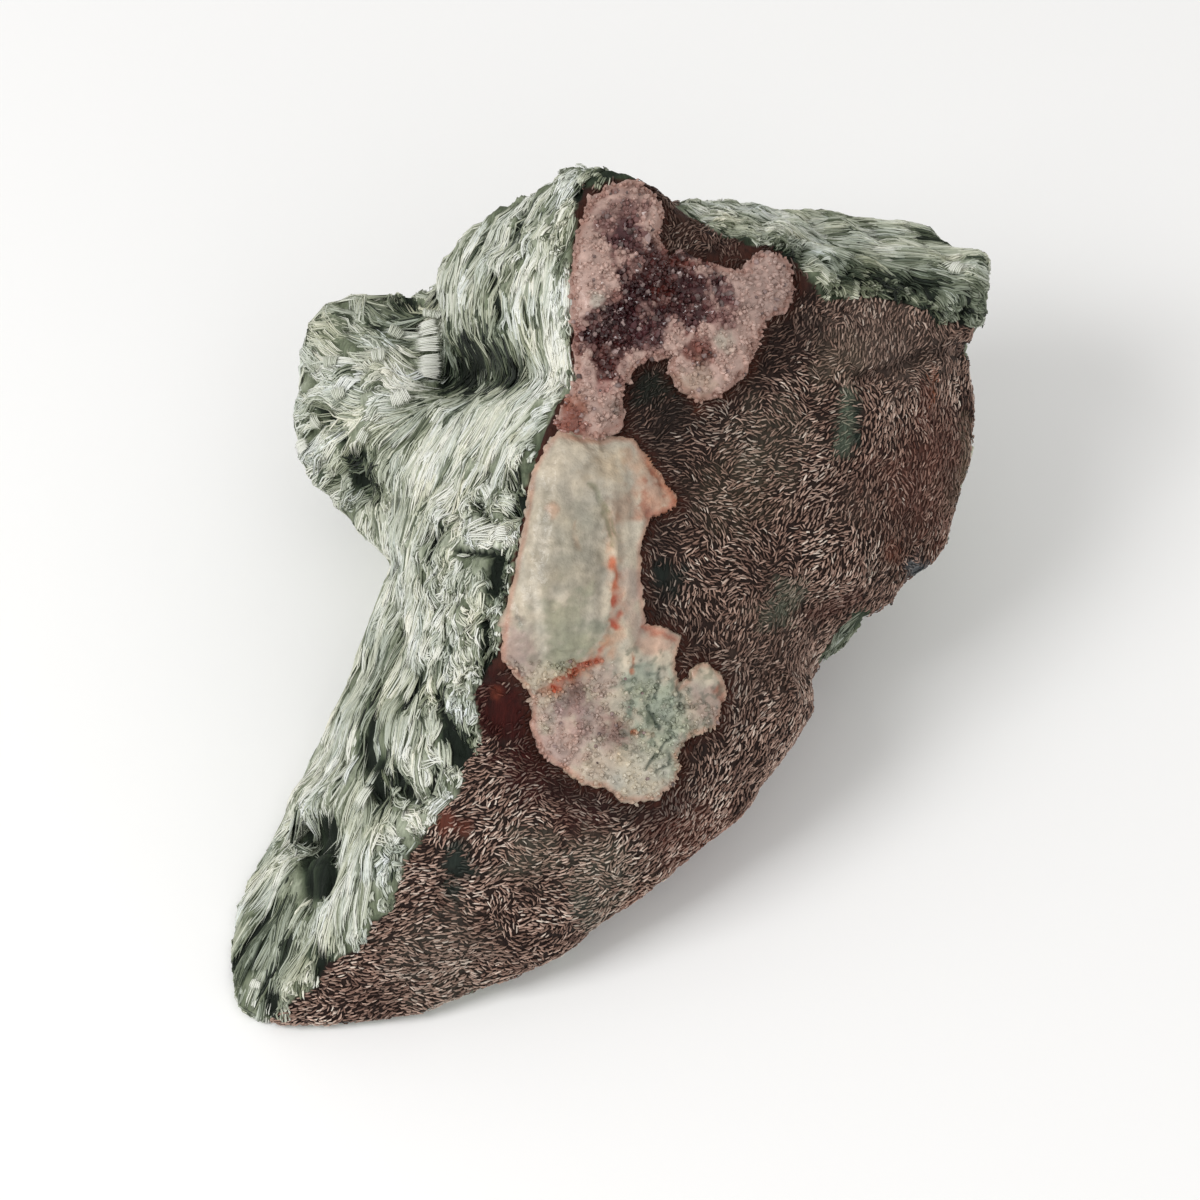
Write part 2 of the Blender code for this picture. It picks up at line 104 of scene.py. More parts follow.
# The relief fades out over this height, so that the foot stays flat.
FOOT_FADE = 2 * MM
CREST = [
    (-2.6, 53.5), (-3.6, 45.5), (-3.8, 37.7), (-3.5, 31.2), (-3.4, 27.6), (-6.9, 22.1),
    (-9.4, 15.6), (-10.6, 7.8), (-12.4, 0), (-13.2, -7.2), (-16.6, -11.7), (-15.2, -18.9),
    (-19.2, -26), (-25, -33.5), (-26, -37.7), (-29.6, -43.2), (-35.1, -47.8), (-41, -52.7),
]
GREEN_SIDE = CREST + [(-47, -58), (-75, -58), (-75, 75), (6, 75), (5, 55)]
GREEN_TOP = [
    (7.8, 53.8), (10.4, 51.2), (14, 48.2), (18, 46.9), (22.1, 46.2), (26.2, 42.0), (29, 39.2),
    (32, 38.9), (36, 39.4), (39.7, 37.9), (44, 36.2), (50, 35.4), (60, 37), (60, 75), (5, 75),
]
# A sliver of green stone that looks out from under the skin at its lower right rim.
SLIVER = [
    (28.3, -8.3), (29.4, -5.2), (30.7, -3.6), (31.9, -2.3), (34.1, -1), (35.6, -1.6), (34.5, -5.2),
    (31.5, -9.4),
]
# A smooth dark facet of the green side, bare of fibres: places along it and its half width.
FACET = [(-36.2, -29.8), (-36.8, -33.5), (-36.7, -37)]
FACET_HALF = 1.5
# Further back in the view than this, fibres lie over the clefts too.
CLEFTS_BACK = -22
# Clefts and pits of the green side: places along each, half width, depth and change of tone, a darkening
# that is painted shade in the cleft.
CLEFTS = [
    (FACET, 2.0, 0.4, -0.36),
    ([(-34.7, -28.6), (-34.4, -33), (-35.7, -38.6)], 0.6, 1.0, -0.5),
    ([(-41.9, -39.7), (-45.5, -44.2), (-47.8, -47.5)], 0.8, 0.6, -0.3),
    ([(-43, -51.2), (-42.6, -52.6)], 1.6, 0.4, -0.4), ([(-36.2, -45.4), (-36, -48.4)], 1.2, 0.6, -0.35),
    ([(-30.4, -18.9), (-28, -25.4)], 1.4, 0.7, -0.28), ([(-26.7, -22.8), (-23.4, -26.3)], 0.9, 1.0, -0.45),
    ([(-21, -12.6), (-18.6, -19.5)], 0.7, 0.8, -0.45), ([(-18.9, -18), (-17.2, -20.4)], 2.0, 0.5, -0.42),
    ([(-21, -21.5), (-21.8, -25)], 0.6, 0.6, -0.4), ([(-29.1, -10.8), (-29.4, -16.9)], 0.7, 0.8, -0.45),
    ([(-10, 13), (-10.6, 11.4)], 1.2, 1.4, -0.55), ([(-11.3, 16.4), (-11.2, 14.8)], 0.8, 1.2, -0.55),
    ([(-16, 12.5), (-14.2, 10)], 0.6, 0.7, -0.4), ([(-18.5, 6.3), (-13, 6)], 0.5, 0.8, -0.45),
    ([(-13, 5.2), (-13.6, 1.2)], 1.2, 1.3, -0.6), ([(-14.8, -2.6), (-14.6, -6.4)], 0.7, 1.0, -0.55),
    ([(-14.4, -7), (-14.9, -9.8)], 0.9, 0.6, -0.4), ([(-14.3, 42.5), (-13, 37)], 0.8, 0.8, -0.32),
    ([(-9.7, 50), (-11, 47.3)], 0.6, 0.7, -0.4), ([(-2.9, 53.9), (-2.9, 51.9)], 0.5, 0.6, -0.4),
    ([(-10, 38.9), (-9.4, 35.6)], 0.5, 0.7, -0.38), ([(-25.4, 38.6), (-24.2, 36)], 1.3, 1.4, -0.6),
    ([(-29.6, 38.5), (-29, 34.5)], 0.8, 0.6, -0.3), ([(-36.4, 25.6), (-33.4, 21)], 0.6, 0.5, -0.32),
    ([(-24, 31.9), (-20.6, 31.9)], 0.35, 0.5, -0.4), ([(-24, 28.6), (-20.8, 29)], 0.35, 0.5, -0.35),
    ([(-31.8, 18.6), (-29.6, 14.2)], 1.6, 0.9, -0.34), ([(-16, 31), (-18.6, 27)], 2.2, 0.8, -0.22),
    ([(-22.6, -9), (-25, -14)], 0.5, 0.6, -0.32), ([(-33, -21), (-34.4, -25.4)], 0.5, 0.5, -0.3),
    ([(-20.4, 9.6), (-22.4, 5)], 0.5, 0.6, -0.3), ([(-25.4, -4), (-26.6, -8.4)], 0.5, 0.6, -0.3),
]
# Places where the fibres are matted into short curls: (a, b) and reach.
MATTED = [
    ((-16, 12), 5), ((-18, 3), 7.5), ((-18.5, -6), 6.5), ((-20, -14), 5), ((-22, -24), 7),
    ((-25, -32), 5.5), ((-31, 16.5), 5), ((-29, 28), 5), ((-8, 47), 4),
    ((23, 45), 3), ((30, 42), 4), ((38, 40), 4), ((46, 37.5), 5), ((31.5, -5.5), 3),
]
# A deep crease of the brown skin, under the swell that carries its upper right corner.
CREASE = [(33.8, 28.9), (37.8, 29.8), (42.4, 32.2), (47.5, 32.5)]
DRUSE_OUTLINE = [
    (4.2, 54.3), (6.8, 53), (8.1, 50.4), (7.3, 47.5), (8.8, 44.2), (12, 43.9), (15, 43.4),
    (18.9, 42.5), (20, 44.5), (22.1, 45.4), (24.2, 43.9), (25.2, 40.6), (24.2, 38),
    (21.1, 36.5), (20.4, 33.8), (18.9, 29.9), (15.9, 26.8), (13, 26.1), (10.7, 27.6),
    (9.4, 29.6), (9.6, 31.5), (7.2, 31.9), (4.9, 30.7), (3.1, 28.6), (2.6, 26), (2.9, 22.8),
    (0, 21.5), (-3.3, 22), (-5.2, 22.6), (-4.4, 25.4), (-2.6, 28.6), (-3, 32.5), (-3.4, 37.7),
    (-3.4, 42.9), (-2.6, 47.5), (-1.2, 51.6), (1.2, 53.6),
]
TONGUE_OUTLINE = [
    (-5.4, 21.6), (-6.8, 20), (-8.7, 16.3), (-9.4, 11.7), (-10.1, 7.2), (-11.4, 1.3),
    (-12.2, -3.3), (-12.7, -7.8), (-10.1, -10.4), (-8.5, -13), (-8.7, -16.3), (-7.4, -19.8),
    (-4.6, -21.8), (-2, -23.8), (0.7, -24.1), (2.9, -26), (7.2, -25.7), (9.4, -24.1),
    (10.4, -21.8), (9.8, -20.2), (11.7, -17.6), (15.1, -16.3), (16.5, -11.7), (15.1, -9.1),
    (13, -8.1), (11.7, -10.4), (10.4, -11.4), (9.6, -8.5), (10.4, -5.2), (8.8, -3.9),
    (5.9, -3.3), (5.2, 1.3), (5.2, 7.2), (6.5, 10.8), (10.1, 12.4), (8.6, 14.6), (6.5, 17.6),
    (4.2, 20.8), (2, 21.1), (0, 20.5), (-3.3, 21),
]


def seen(points):
    """Where points in metres lie in the view: columns a, b and c, in millimetres."""
    x, y, z = ((np.asarray(points, float) - VIEW_CENTRE) / MM).T
    up = y * UP_VIEW.y + z * UP_VIEW.z
    c = y * TO_EYE.y + z * TO_EYE.z
    spread = 1 - c * MM / EYE_DISTANCE
    return np.column_stack([x / spread, up / spread, c])


def within(outline, a, b):
    """True for each place that lies within a closed outline."""
    found = np.zeros(len(a), bool)
    for (a0, b0), (a1, b1) in zip(outline, outline[1:] + outline[:1]):
        crosses = (b0 > b) != (b1 > b)
        found ^= crosses & (a < (a1 - a0) * (b - b0) / ((b1 - b0) or WELD) + a0)
    return found


def distance_to(line, a, b, closed=False):
    """How far each place is from the nearest part of a line, in millimetres."""
    best = np.full(len(a), np.inf)
    for start, end in zip(line, line[1:] + line[:1] if closed else line[1:]):
        side = np.subtract(end, start)
        along = np.clip(((a - start[0]) * side[0] + (b - start[1]) * side[1]) / (side @ side), 0, 1)
        gap_a, gap_b = a - start[0] - along * side[0], b - start[1] - along * side[1]
        best = np.minimum(best, np.hypot(gap_a, gap_b))
    return best


def swell(points, size, seed):
    """Smooth noise from about -1 to 1 at points in metres; size is its wavelength in millimetres."""
    shift = Vector((seed * 7.3, seed * 3.1, seed * 5.7))
    return np.array([noise.noise(Vector(p) + shift) for p in np.asarray(points) / (size * MM)])


def ease(share):
    """0 to 1 with a soft start and end."""
    share = np.clip(share, 0, 1)
    return share * share * (3 - 2 * share)


def finish_with(piece, kind, **settings):
    """Adds a modifier to the piece and applies it."""
    bpy.context.view_layer.objects.active = piece
    modifier = piece.modifiers.new("shaping", kind)
    for name, value in settings.items():
        setattr(modifier, name, value)
    bpy.ops.object.modifier_apply(modifier=modifier.name)


def grown_from(node, name, grain, smoothing):
    """A new piece with the form of a solid, as one even closed skin."""
    piece = bpy.data.objects.new(name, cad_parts[node].data.copy())
    bpy.context.collection.objects.link(piece)
    bpy.context.view_layer.objects.active = piece
    bpy.ops.object.mode_set(mode="EDIT")
    bpy.ops.mesh.select_all(action="SELECT")
    bpy.ops.mesh.remove_doubles(threshold=WELD)
    bpy.ops.object.mode_set(mode="OBJECT")
    finish_with(piece, "REMESH", mode="VOXEL", voxel_size=grain)
    finish_with(piece, "SMOOTH", iterations=smoothing)
    return piece


def skin_of(piece):
    """The piece's points and normals as arrays."""
    count = len(piece.data.vertices)
    points, normals = np.empty(count * 3), np.empty(count * 3)
    piece.data.vertices.foreach_get("co", points)
    piece.data.vertices.foreach_get("normal", normals)
    return points.reshape(-1, 3), normals.reshape(-1, 3)


def reshape(piece, points):
    """Moves the piece's points."""
    piece.data.vertices.foreach_set("co", np.asarray(points, np.float32).ravel())
    piece.data.update()


# The lie of the fibres on the green side, as strokes in the view: (a, b) and heading in degrees,
# turning left from rightwards. Between strokes the fibres follow the nearest ones.
STROKES = [
    (-3.3, 54, 250), (-7.8, 50, 250), (-13, 47.5, 228), (-17.5, 41.6, 250), (-15.6, 36.4, 258),
    (-11.7, 39, 266), (-10.4, 35.1, 284), (-7.2, 35.1, 292), (-5.2, 39, 276), (-5.2, 46.8, 262),
    (-5.9, 31.2, 302), (-19.5, 33.8, 268), (-14.3, 29.9, 276), (-22.8, 34.5, 184),
    (-26, 39, 110), (-31.2, 37.7, 128), (-36.4, 33.8, 152), (-38.4, 27.3, 176),
    (-37.7, 19.5, 206), (-33.8, 14.3, 226), (-32.5, 26, 172), (-27.3, 31.2, 142),
    (-26, 23.4, 202), (-29.9, 19.5, 218), (-7.8, 26, 200), (-13, 25.4, 204), (-18.2, 23.4, 216),
    (-22.1, 20.8, 226), (-24.7, 16.9, 236), (-16.9, 19.5, 210), (-10.4, 23.4, 198),
    (-20.8, 15.6, 240), (-26, 10.4, 244), (-14.3, 13, 302), (-11.7, 16.9, 288),
    (-15.6, 7.2, 12), (-22.1, 7.8, 250), (-27.3, 5.2, 250), (-13, 2.6, 282), (-15.6, -2.6, 266),
    (-20.8, 0, 240), (-26, -3.9, 250), (-19.5, -7.8, 276), (-23.4, -10.4, 270),
    (-28.6, -10.4, 260), (-32.5, -14.3, 246), (-35.1, -20.8, 244), (-40.3, -28.6, 240),
    (-44.2, -36.4, 240), (-46.8, -42.9, 250), (-35.1, -29.9, 264), (-37.7, -39, 262),
    (-41, -46.8, 258), (-31.2, -26, 276), (-29.9, -33.8, 276), (-26, -20.8, 302),
    (-22.1, -26, 296), (-20.8, -18.2, 290), (-26, -29.9, 286), (-28.6, -40.3, 280),
    (-33.8, -42.9, 268), (-18.2, -13, 270),
]
TOP_HEADING = -7
# The fibres of the unseen back fan out from this point.
BACK_HUB = Vector((-0.006, 0.05, 0.084))


def matted(a, b):
    """How matted the fibres are at places in the view: 0 where they run smoothly, up to 1."""
    knots = [ease(1.35 - np.hypot(a - pa, b - pb) / reach) for (pa, pb), reach in MATTED]
    return np.max(knots, axis=0)


def heading_from(strokes, a, b, core, fall, ends=1):
    """The heading in radians at places in the view, from the strokes near them. What has two ends
    alike has the same lie after half a turn."""
    turns = np.radians([heading for _, _, heading in strokes]) * ends
    pull = np.array([1 / (np.hypot(a - s[0], b - s[1]) + core) ** fall for s in strokes])
    return np.arctan2(np.sin(turns) @ pull, np.cos(turns) @ pull) / ends


def headed(heading):
    """Directions in the plane of the view, from headings in radians."""
    return np.cos(heading)[:, None] * RIGHT + np.sin(heading)[:, None] * UP_VIEW


def along_skin(ways, normals, guard=1e-9):
    """Directions laid flat along the surface, of unit length. The guard keeps one that points
    straight off the surface from being divided by nothing."""
    ways = ways - normals * np.sum(ways * normals, axis=1)[:, None]
    return ways / (np.linalg.norm(ways, axis=1)[:, None] + guard)


def grain(points, normals):
    """The way that the fibres run at points on the stone: unit vectors along its surface."""
    a, b, _ = seen(points).T
    heading = heading_from(STROKES, a, b, 0.5, 4)
    heading = np.where(within(GREEN_TOP, a, b), math.radians(TOP_HEADING), heading)
    knots = matted(a, b)
    heading += swell(points, 7, 11) * (0.14 + knots) + swell(points, 3, 12) * (0.04 + 0.8 * knots)
    behind = np.asarray(points) - BACK_HUB
    behind[:, 1] *= 0.3
    sideways = np.cross(behind, normals)
    behind += sideways * (swell(points, 12, 13) * 0.9)[:, None]
    unseen = (normals @ TO_EYE < 0)[:, None]
    return along_skin(np.where(unseen, behind, headed(heading)), normals)


def skin_tree(mesh):
    """A mesh's skin, for finding its nearest points."""
    corners = [tuple(vert.co) for vert in mesh.vertices]
    return BVHTree.FromPolygons(corners, [tuple(face.vertices) for face in mesh.polygons])


stone_solid = skin_tree(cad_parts["seraphinite"].data)


def greenness(points):
    """1 on the fibrous green sides and 0 on the brown skin, with a ragged border."""
    a, b, _ = seen(points).T
    normals = np.array([stone_solid.find_nearest(point)[1] for point in points])
    a = a + swell(points, 3.5, 21) * 1.1
    b = b + swell(points, 3.5, 22) * 1.1
    turned = normals @ TO_EYE < -0.25 + 0.25 * swell(points, 8, 23)
    sides = within(GREEN_SIDE, a, b) | within(GREEN_TOP, a, b) | within(SLIVER, a, b)
    return (sides | turned).astype(float)


def in_cleft(points):
    """True on the facet and in the middles of the clefts, which lie bare of fibres."""
    a, b, c = seen(points).T
    gaps = [distance_to(line, a, b) < 0.45 * half for line, half, _, _ in CLEFTS]
    gaps.append(distance_to(FACET, a, b) < FACET_HALF)
    return np.any(gaps, axis=0) & (c > CLEFTS_BACK)


def streaks(points, ways, size, reach, seed):
    """Noise that is drawn out along the fibres, over reach millimetres each way."""
    steps = np.linspace(-reach, reach, 7) * MM
    return sum(swell(points + ways * step, size, seed) for step in steps) / 2.6


crust_solids = [skin_tree(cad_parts[node].data) for node in ("rose_druse", "calcite_tongue")]
CRUST_BACKING = 4 * MM


def beside_crust(points):
    """True where the stone backs a crust, or lies close beside one."""
    gaps = [min(solid.find_nearest(point)[3] for solid in crust_solids) for point in points]
    return np.array(gaps) < CRUST_BACKING


def crust_distance(points):
    """How far points are from the crusts in the view, in millimetres."""
    a, b, _ = seen(points).T
    outlines = (DRUSE_OUTLINE, TONGUE_OUTLINE)
    return np.min([distance_to(outline, a, b, closed=True) for outline in outlines], axis=0)


def under_crust(points, margin):
    """True where points lie under a crust, or within the margin of it."""
    a, b, _ = seen(points).T
    covered = within(DRUSE_OUTLINE, a, b) | within(TONGUE_OUTLINE, a, b)
    return (covered | (crust_distance(points) < margin)) & beside_crust(points)


stone = grown_from("seraphinite", "stone", GRAIN, 2)
points, normals = skin_of(stone)
green = greenness(points)
ways = grain(points, normals)
a, b, _ = seen(points).T
facing = ease(normals @ TO_EYE * 4)
knots = matted(a, b)
fibred = 0.5 * streaks(points, ways, 2.2, 5, 31) + 0.2 * streaks(points, ways, 1.1, 2.5, 32)
fibred += (0.12 + 0.7 * knots) * swell(points, 4.2, 33)
for line, half, depth, _ in CLEFTS:
    fibred -= facing * depth * ease(1.5 - distance_to(line, a, b) / half)
skinned = 0.3 * swell(points, 4.5, 34) + 0.14 * swell(points, 1.6, 35)
skinned -= 0.9 * ease(1.4 - distance_to(CREASE, a, b) / 1.1)
above = np.clip(points[:, 2] / FOOT_FADE, 0, 1)
moved = (green * fibred + (1 - green) * skinned) * above * MM
moved = np.where(under_crust(points, 0.3), np.minimum(moved, 0), moved)
reshape(stone, points + normals * moved[:, None])

# The stone's own colours, as they show between the fibres and the grains: dark green on the fibrous sides
# and maroon black on the skin, both darkened with painted shade there, and rust where the crusts grow on
# it. Spots of colour are (a, b), reach, strength and colour, in display levels of 0 to 255. They are
# placed one by one.
def linear(levels):
    """A colour in linear light, from its display levels."""
    share = np.array(levels) / 255
    return np.where(share < 0.04045, share / 12.92, ((share + 0.055) / 1.055) ** 2.4)


def spot(a, b, place, reach, wobble):
    """How much a round spot covers each place: 1 inside, to 0 past its ragged edge."""
    return ease(1.5 - np.hypot(a - place[0], b - place[1]) / reach + wobble)


def covered(colours, cover, levels):
    """The colours with one colour laid over them, as strongly as cover says, from 0 to 1."""
    return colours + cover[:, None] * (linear(levels) - colours)


def painted(colours, points, spots, seed):
    """The colours with spots of other colours laid over them, one after another."""
    a, b, _ = seen(points).T
    wobble = 0.7 * swell(points, 2.4, seed) + 0.6 * swell(points, 0.9, seed + 1)
    for place, reach, strength, levels in spots:
        colours = covered(colours, strength * spot(a, b, place, reach, wobble), levels)
    return colours


def streaked(colours, points, streaks, seed):
    """The colours with streaks of other colours laid over them, one after another."""
    a, b, _ = seen(points).T
    wobble = 0.6 * swell(points, 2.2, seed) + 0.5 * swell(points, 0.8, seed + 1)
    for line, half, strength, levels in streaks:
        cover = strength * ease(1.4 + wobble - distance_to(line, a, b) / half)
        colours = covered(colours, cover, levels)
    return colours


def toned(tone, palette):
    """Colours from tones of 0 to 1 along a palette of colours from dark to light."""
    steps = np.linspace(0, 1, len(palette))
    channels = np.transpose([linear(levels) for levels in palette])
    return np.column_stack([np.interp(tone, steps, channel) for channel in channels])


def tint(piece, colours):
    """Stores one colour a point."""
    layer = piece.data.color_attributes.new("tint", "FLOAT_COLOR", "POINT")
    rows = np.column_stack([np.clip(colours, 0, 1), np.ones(len(colours))]).astype(np.float32)
    layer.data.foreach_set("color", rows.ravel())


def shade_smoothly(piece):
    """Shades the piece as one smooth skin."""
    bpy.ops.object.select_all(action="DESELECT")
    bpy.context.view_layer.objects.active = piece
    piece.select_set(True)
    bpy.ops.object.shade_smooth()


GREENS = [
    (19, 27, 19), (56, 67, 50), (114, 122, 100), (168, 174, 155),
    (208, 212, 196), (242, 243, 234),
]
USUAL_TONE = 0.765
# Lighter and darker places of the green sides: (a, b), reach and change of tone. They are partly the
# stone's own paler and darker patches and partly painted light and shade: painted shade in the recesses
# and pockets and on the front band of the top face, painted highlight on the upper plume by the crest and
# on the knob's shiny faces.
GREEN_PATCHES_AND_PAINTED_LIGHT = [
    ((-15.6, 8.2), 2.4, 0.3), ((-13, 8), 1.8, 0.3), ((-22.2, 35.2), 1.9, 0.34), ((-22.4, 30.2), 1.8, 0.34),
    ((-24.7, 27.6), 2.2, 0.24), ((-5.2, 35.1), 4.5, 0.16), ((-6, 30), 3.4, 0.14), ((-8, 41), 4, 0.08),
    ((-22.1, -5.2), 5, 0.08), ((-20.5, -28), 5, 0.14), ((-27, -17), 3.4, 0.12), ((-23, -20), 2.6, 0.14),
    ((-39, -26), 5.5, 0.1), ((-34, -18), 4, 0.08), ((-16, 20), 4.5, 0.1), ((-23, 17), 3.5, 0.12),
    ((-36, 30), 4, 0.04), ((-26.5, 7), 4, 0.04), ((-40, -36), 3.5, 0.08), ((-44.5, -50), 1.6, 0.2),
    ((-14.3, 31.4), 4.0, -0.4), ((-18.2, 29.4), 3.0, -0.4), ((-18.6, 34.5), 2.6, -0.34),
    ((-10.5, 30.2), 2.8, -0.3), ((-20.6, 33), 1.6, -0.2), ((-31, 16.9), 3.8, -0.16),
    ((-32, 31), 2.6, -0.12), ((-15, -8.4), 1.6, -0.2), ((-26.5, -24), 2.6, -0.2),
    ((-22, -11), 3, -0.08), ((2.5, 55), 2.8, -0.2), ((-1, 54.6), 1.8, -0.12),
    ((32.5, 42.9), 3.2, -0.3), ((39, 40.3), 4.0, -0.42), ((46.8, 38.6), 4.4, -0.26),
    ((23.4, 44.9), 2.8, -0.3), ((18.2, 47.5), 2.2, -0.26), ((15.6, 50.6), 3, 0.16), ((22, 49), 3, 0.16),
    ((29, 48), 4, 0.12), ((37, 46.8), 3.4, 0.12), ((46.8, 43.6), 1.6, 0.28), ((44, 42), 1.6, 0.1),
    ((30.4, -5.6), 1.4, 0.14), ((32, -6.4), 1.2, -0.34), ((29, -8), 1.0, 0.1),
    ((-43.5, -46), 5, -0.22), ((-40, -43), 3, -0.1), ((-30, -14), 4, -0.12), ((-28, -7), 3, -0.12),
    ((-31, -28), 3, -0.12), ((-24, -15.5), 3.5, -0.12), ((34, 42), 4, -0.06),
    ((-22.6, 33), 3.4, 0.12), ((14, 51.5), 3, 0.1), ((-18, 12.5), 3, 0.1), ((-20, 6), 3, 0.05),
    ((-4.5, 53), 2, 0.1), ((0.5, 54), 3, -0.12), ((36, 44.6), 2.4, 0.12),
]
RUST = (62, 30, 20)
MAROON = (72, 20, 15)
# Painted shade: this dark colour darkens the skin beside the crusts' lower and right edges and in the
# crease.
SKIN_PAINTED_SHADE = (40, 26, 22)
GAP_BROWN = (44, 29, 24)
SKIN_SPOTS = [
    ((39, 35.1), 8, 0.3, (138, 120, 108)),
    ((31, 31), 3.5, 0.25, (120, 116, 92)), ((18, 14), 5, 0.2, (112, 106, 84)),
    ((30, 14), 4, 0.2, RUST),
    ((22, 21), 5, 0.25, (112, 108, 92)), ((34, 12), 3, 0.2, (120, 104, 92)),
    ((33.8, 33.5), 6, 0.25, (132, 112, 102)),
    ((24.7, -6.5), 7, 0.2, (128, 106, 94)), ((7.8, 23.5), 5, 0.5, SKIN_PAINTED_SHADE),
    ((6.5, -1), 2.4, 0.5, SKIN_PAINTED_SHADE), ((26, 33.5), 3.4, 0.45, SKIN_PAINTED_SHADE), ((13, 21), 4, 0.25, SKIN_PAINTED_SHADE),
    ((-9.6, -16), 4.6, 0.8, MAROON), ((-13.4, -13), 3.6, 0.9, MAROON),
    ((11.5, 48.5), 2.4, 0.6, (86, 56, 44)), ((18, 45.4), 2.4, 0.6, (84, 48, 38)),
    ((26.4, 41.6), 1.8, 0.6, (78, 46, 38)), ((-8, -22), 4, 0.6, MAROON),
    ((-2, -27.4), 3.6, 0.5, MAROON), ((8, -28.6), 3.2, 0.4, MAROON),
    ((-13.6, -12), 1.1, 0.6, (134, 66, 46)),
    ((42.9, 14), 6.5, 0.5, (118, 76, 64)), ((44, 21), 4, 0.4, (118, 76, 64)),
    ((13, -31), 5, 0.35, (120, 66, 50)), ((15.6, 27.3), 1.2, 0.4, (168, 92, 60)),
    ((18.8, 30.2), 1.1, 0.4, (168, 92, 60)), ((13, 25), 1.0, 0.35, (168, 92, 60)),
    ((16.6, -32), 2.0, 0.3, (168, 92, 60)),
    ((38, 6.2), 1.4, 0.3, (150, 82, 58)), ((-20, -28.8), 1.5, 0.7, (134, 72, 56)),
    ((-17.6, -29.4), 1.2, 0.6, (122, 64, 48)), ((-16.5, -7.5), 1.4, 0.5, (96, 40, 28)),
    ((8.2, 3.2), 2.4, 0.95, (29, 38, 33)), ((-18.9, -34), 2.1, 0.95, (42, 52, 46)),
    ((-19.4, -37), 1.3, 0.9, (26, 40, 34)), ((7.4, 27.4), 2.4, 0.85, (36, 42, 34)),
    # Painted shade under the druse's lower edge and beside the tongue's right edge.
    ((9.5, 24), 2.6, 0.6, (40, 32, 27)), ((7, 8), 2.6, 0.5, SKIN_PAINTED_SHADE), ((6.4, -2), 2, 0.6, SKIN_PAINTED_SHADE),
    ((46, 5), 4, 0.3, (124, 74, 60)), ((47, 14), 3, 0.4, (96, 90, 72)),
    ((0, -35), 4.5, 0.3, (118, 120, 104)), ((-9, -33), 3.4, 0.3, (122, 120, 104)),
    ((-20.8, -46.8), 6, 0.25, (112, 110, 98)), ((24.6, 0.5), 2.2, 0.5, (112, 122, 104)),
    ((22, -2.4), 1.8, 0.4, (112, 122, 104)), ((32, -10), 2.6, 0.5, (112, 122, 104)),
    ((-1.5, -40.5), 2.4, 0.4, (100, 108, 96)), ((41.4, 4), 1.4, 0.8, (104, 112, 116)),
]
# Streaks of colour on the skin: (a, b) along each, half width, strength and colour.
SKIN_STREAKS = [
    ([(32.2, 26.6), (32.2, 23), (31.8, 19.2)], 1.2, 0.75, (100, 114, 97)),
    ([(33.4, 25.4), (33.4, 20)], 0.4, 0.9, (28, 44, 36)),
    ([(43.4, 30.3), (43.3, 27.4), (43.0, 25)], 0.28, 0.55, (170, 98, 64)),
    ([(42.4, 27.6), (42, 23)], 0.7, 0.5, (112, 60, 46)), ([(45, 21), (45.4, 14)], 0.5, 0.45, RUST),
    ([(41, 17), (39.6, 9)], 0.5, 0.4, (84, 44, 36)), ([(37, 15), (36.4, 7)], 0.4, 0.35, RUST),
    ([(47.4, 24), (47.6, 12)], 0.6, 0.4, (112, 104, 84)),
    ([(20, -28), (12, -35), (4, -40)], 1.2, 0.3, (150, 84, 56)),
    # Painted shade in the crease and on the skin under the tongue's lower edge.
    ([(33.8, 28.9), (42.4, 32.2), (47.5, 32.5)], 0.8, 0.5, SKIN_PAINTED_SHADE),
    ([(-6, -24.4), (4, -28), (10, -26.6)], 1.4, 0.5, SKIN_PAINTED_SHADE),
    ([(27.5, -2), (33.5, 0.6)], 0.9, 0.5, (88, 44, 34)),
]


def green_tone(points):
    """How light the green sides are at points: 0 nearly black to 1 silver white."""
    a, b, _ = seen(points).T
    wobble = 0.5 * swell(points, 2.4, 41) + 0.3 * swell(points, 0.9, 42)
    tone = USUAL_TONE + 0.12 * swell(points, 6, 43)
    tone += -0.12 * within(GREEN_TOP, a, b) - 0.2 * within(SLIVER, a, b)
    # The clefts are darkened as painted shade.
    for line, half, _, change in CLEFTS:
        tone = tone + change * ease(1.5 + 0.5 * wobble - distance_to(line, a, b) / half)
    # The patches lay on the stone's own tones and painted light and shade.
    for place, reach, change in GREEN_PATCHES_AND_PAINTED_LIGHT:
        tone = tone + change * spot(a, b, place, reach, wobble)
    return tone


# Painted shade: the green stone under the fibres is this much darker in tone, and the skin between the
# grains is darkened to this share of its colour.
BED_PAINTED_SHADE = 0.36
GAP_PAINTED_SHADE = 0.66
stone_points, stone_normals = skin_of(stone)
# The bed also follows its relief: darker where it sinks into grooves and clefts, as painted shade, and
# lighter where it rises.
bed = toned(np.clip(green_tone(stone_points) - BED_PAINTED_SHADE + 0.25 * fibred, 0, 1), GREENS)
dark_skin = np.tile(linear(GAP_BROWN), (len(stone_points), 1))
dark_skin = painted(dark_skin, stone_points, SKIN_SPOTS, 44)
dark_skin = streaked(dark_skin, stone_points, SKIN_STREAKS, 46) * GAP_PAINTED_SHADE
rust = ease(1.3 - crust_distance(stone_points) / 1.6) * 0.9 * beside_crust(stone_points)
dark_skin = covered(dark_skin, rust, RUST)
tint(stone, dark_skin + green[:, None] * (bed - dark_skin))
shade_smoothly(stone)


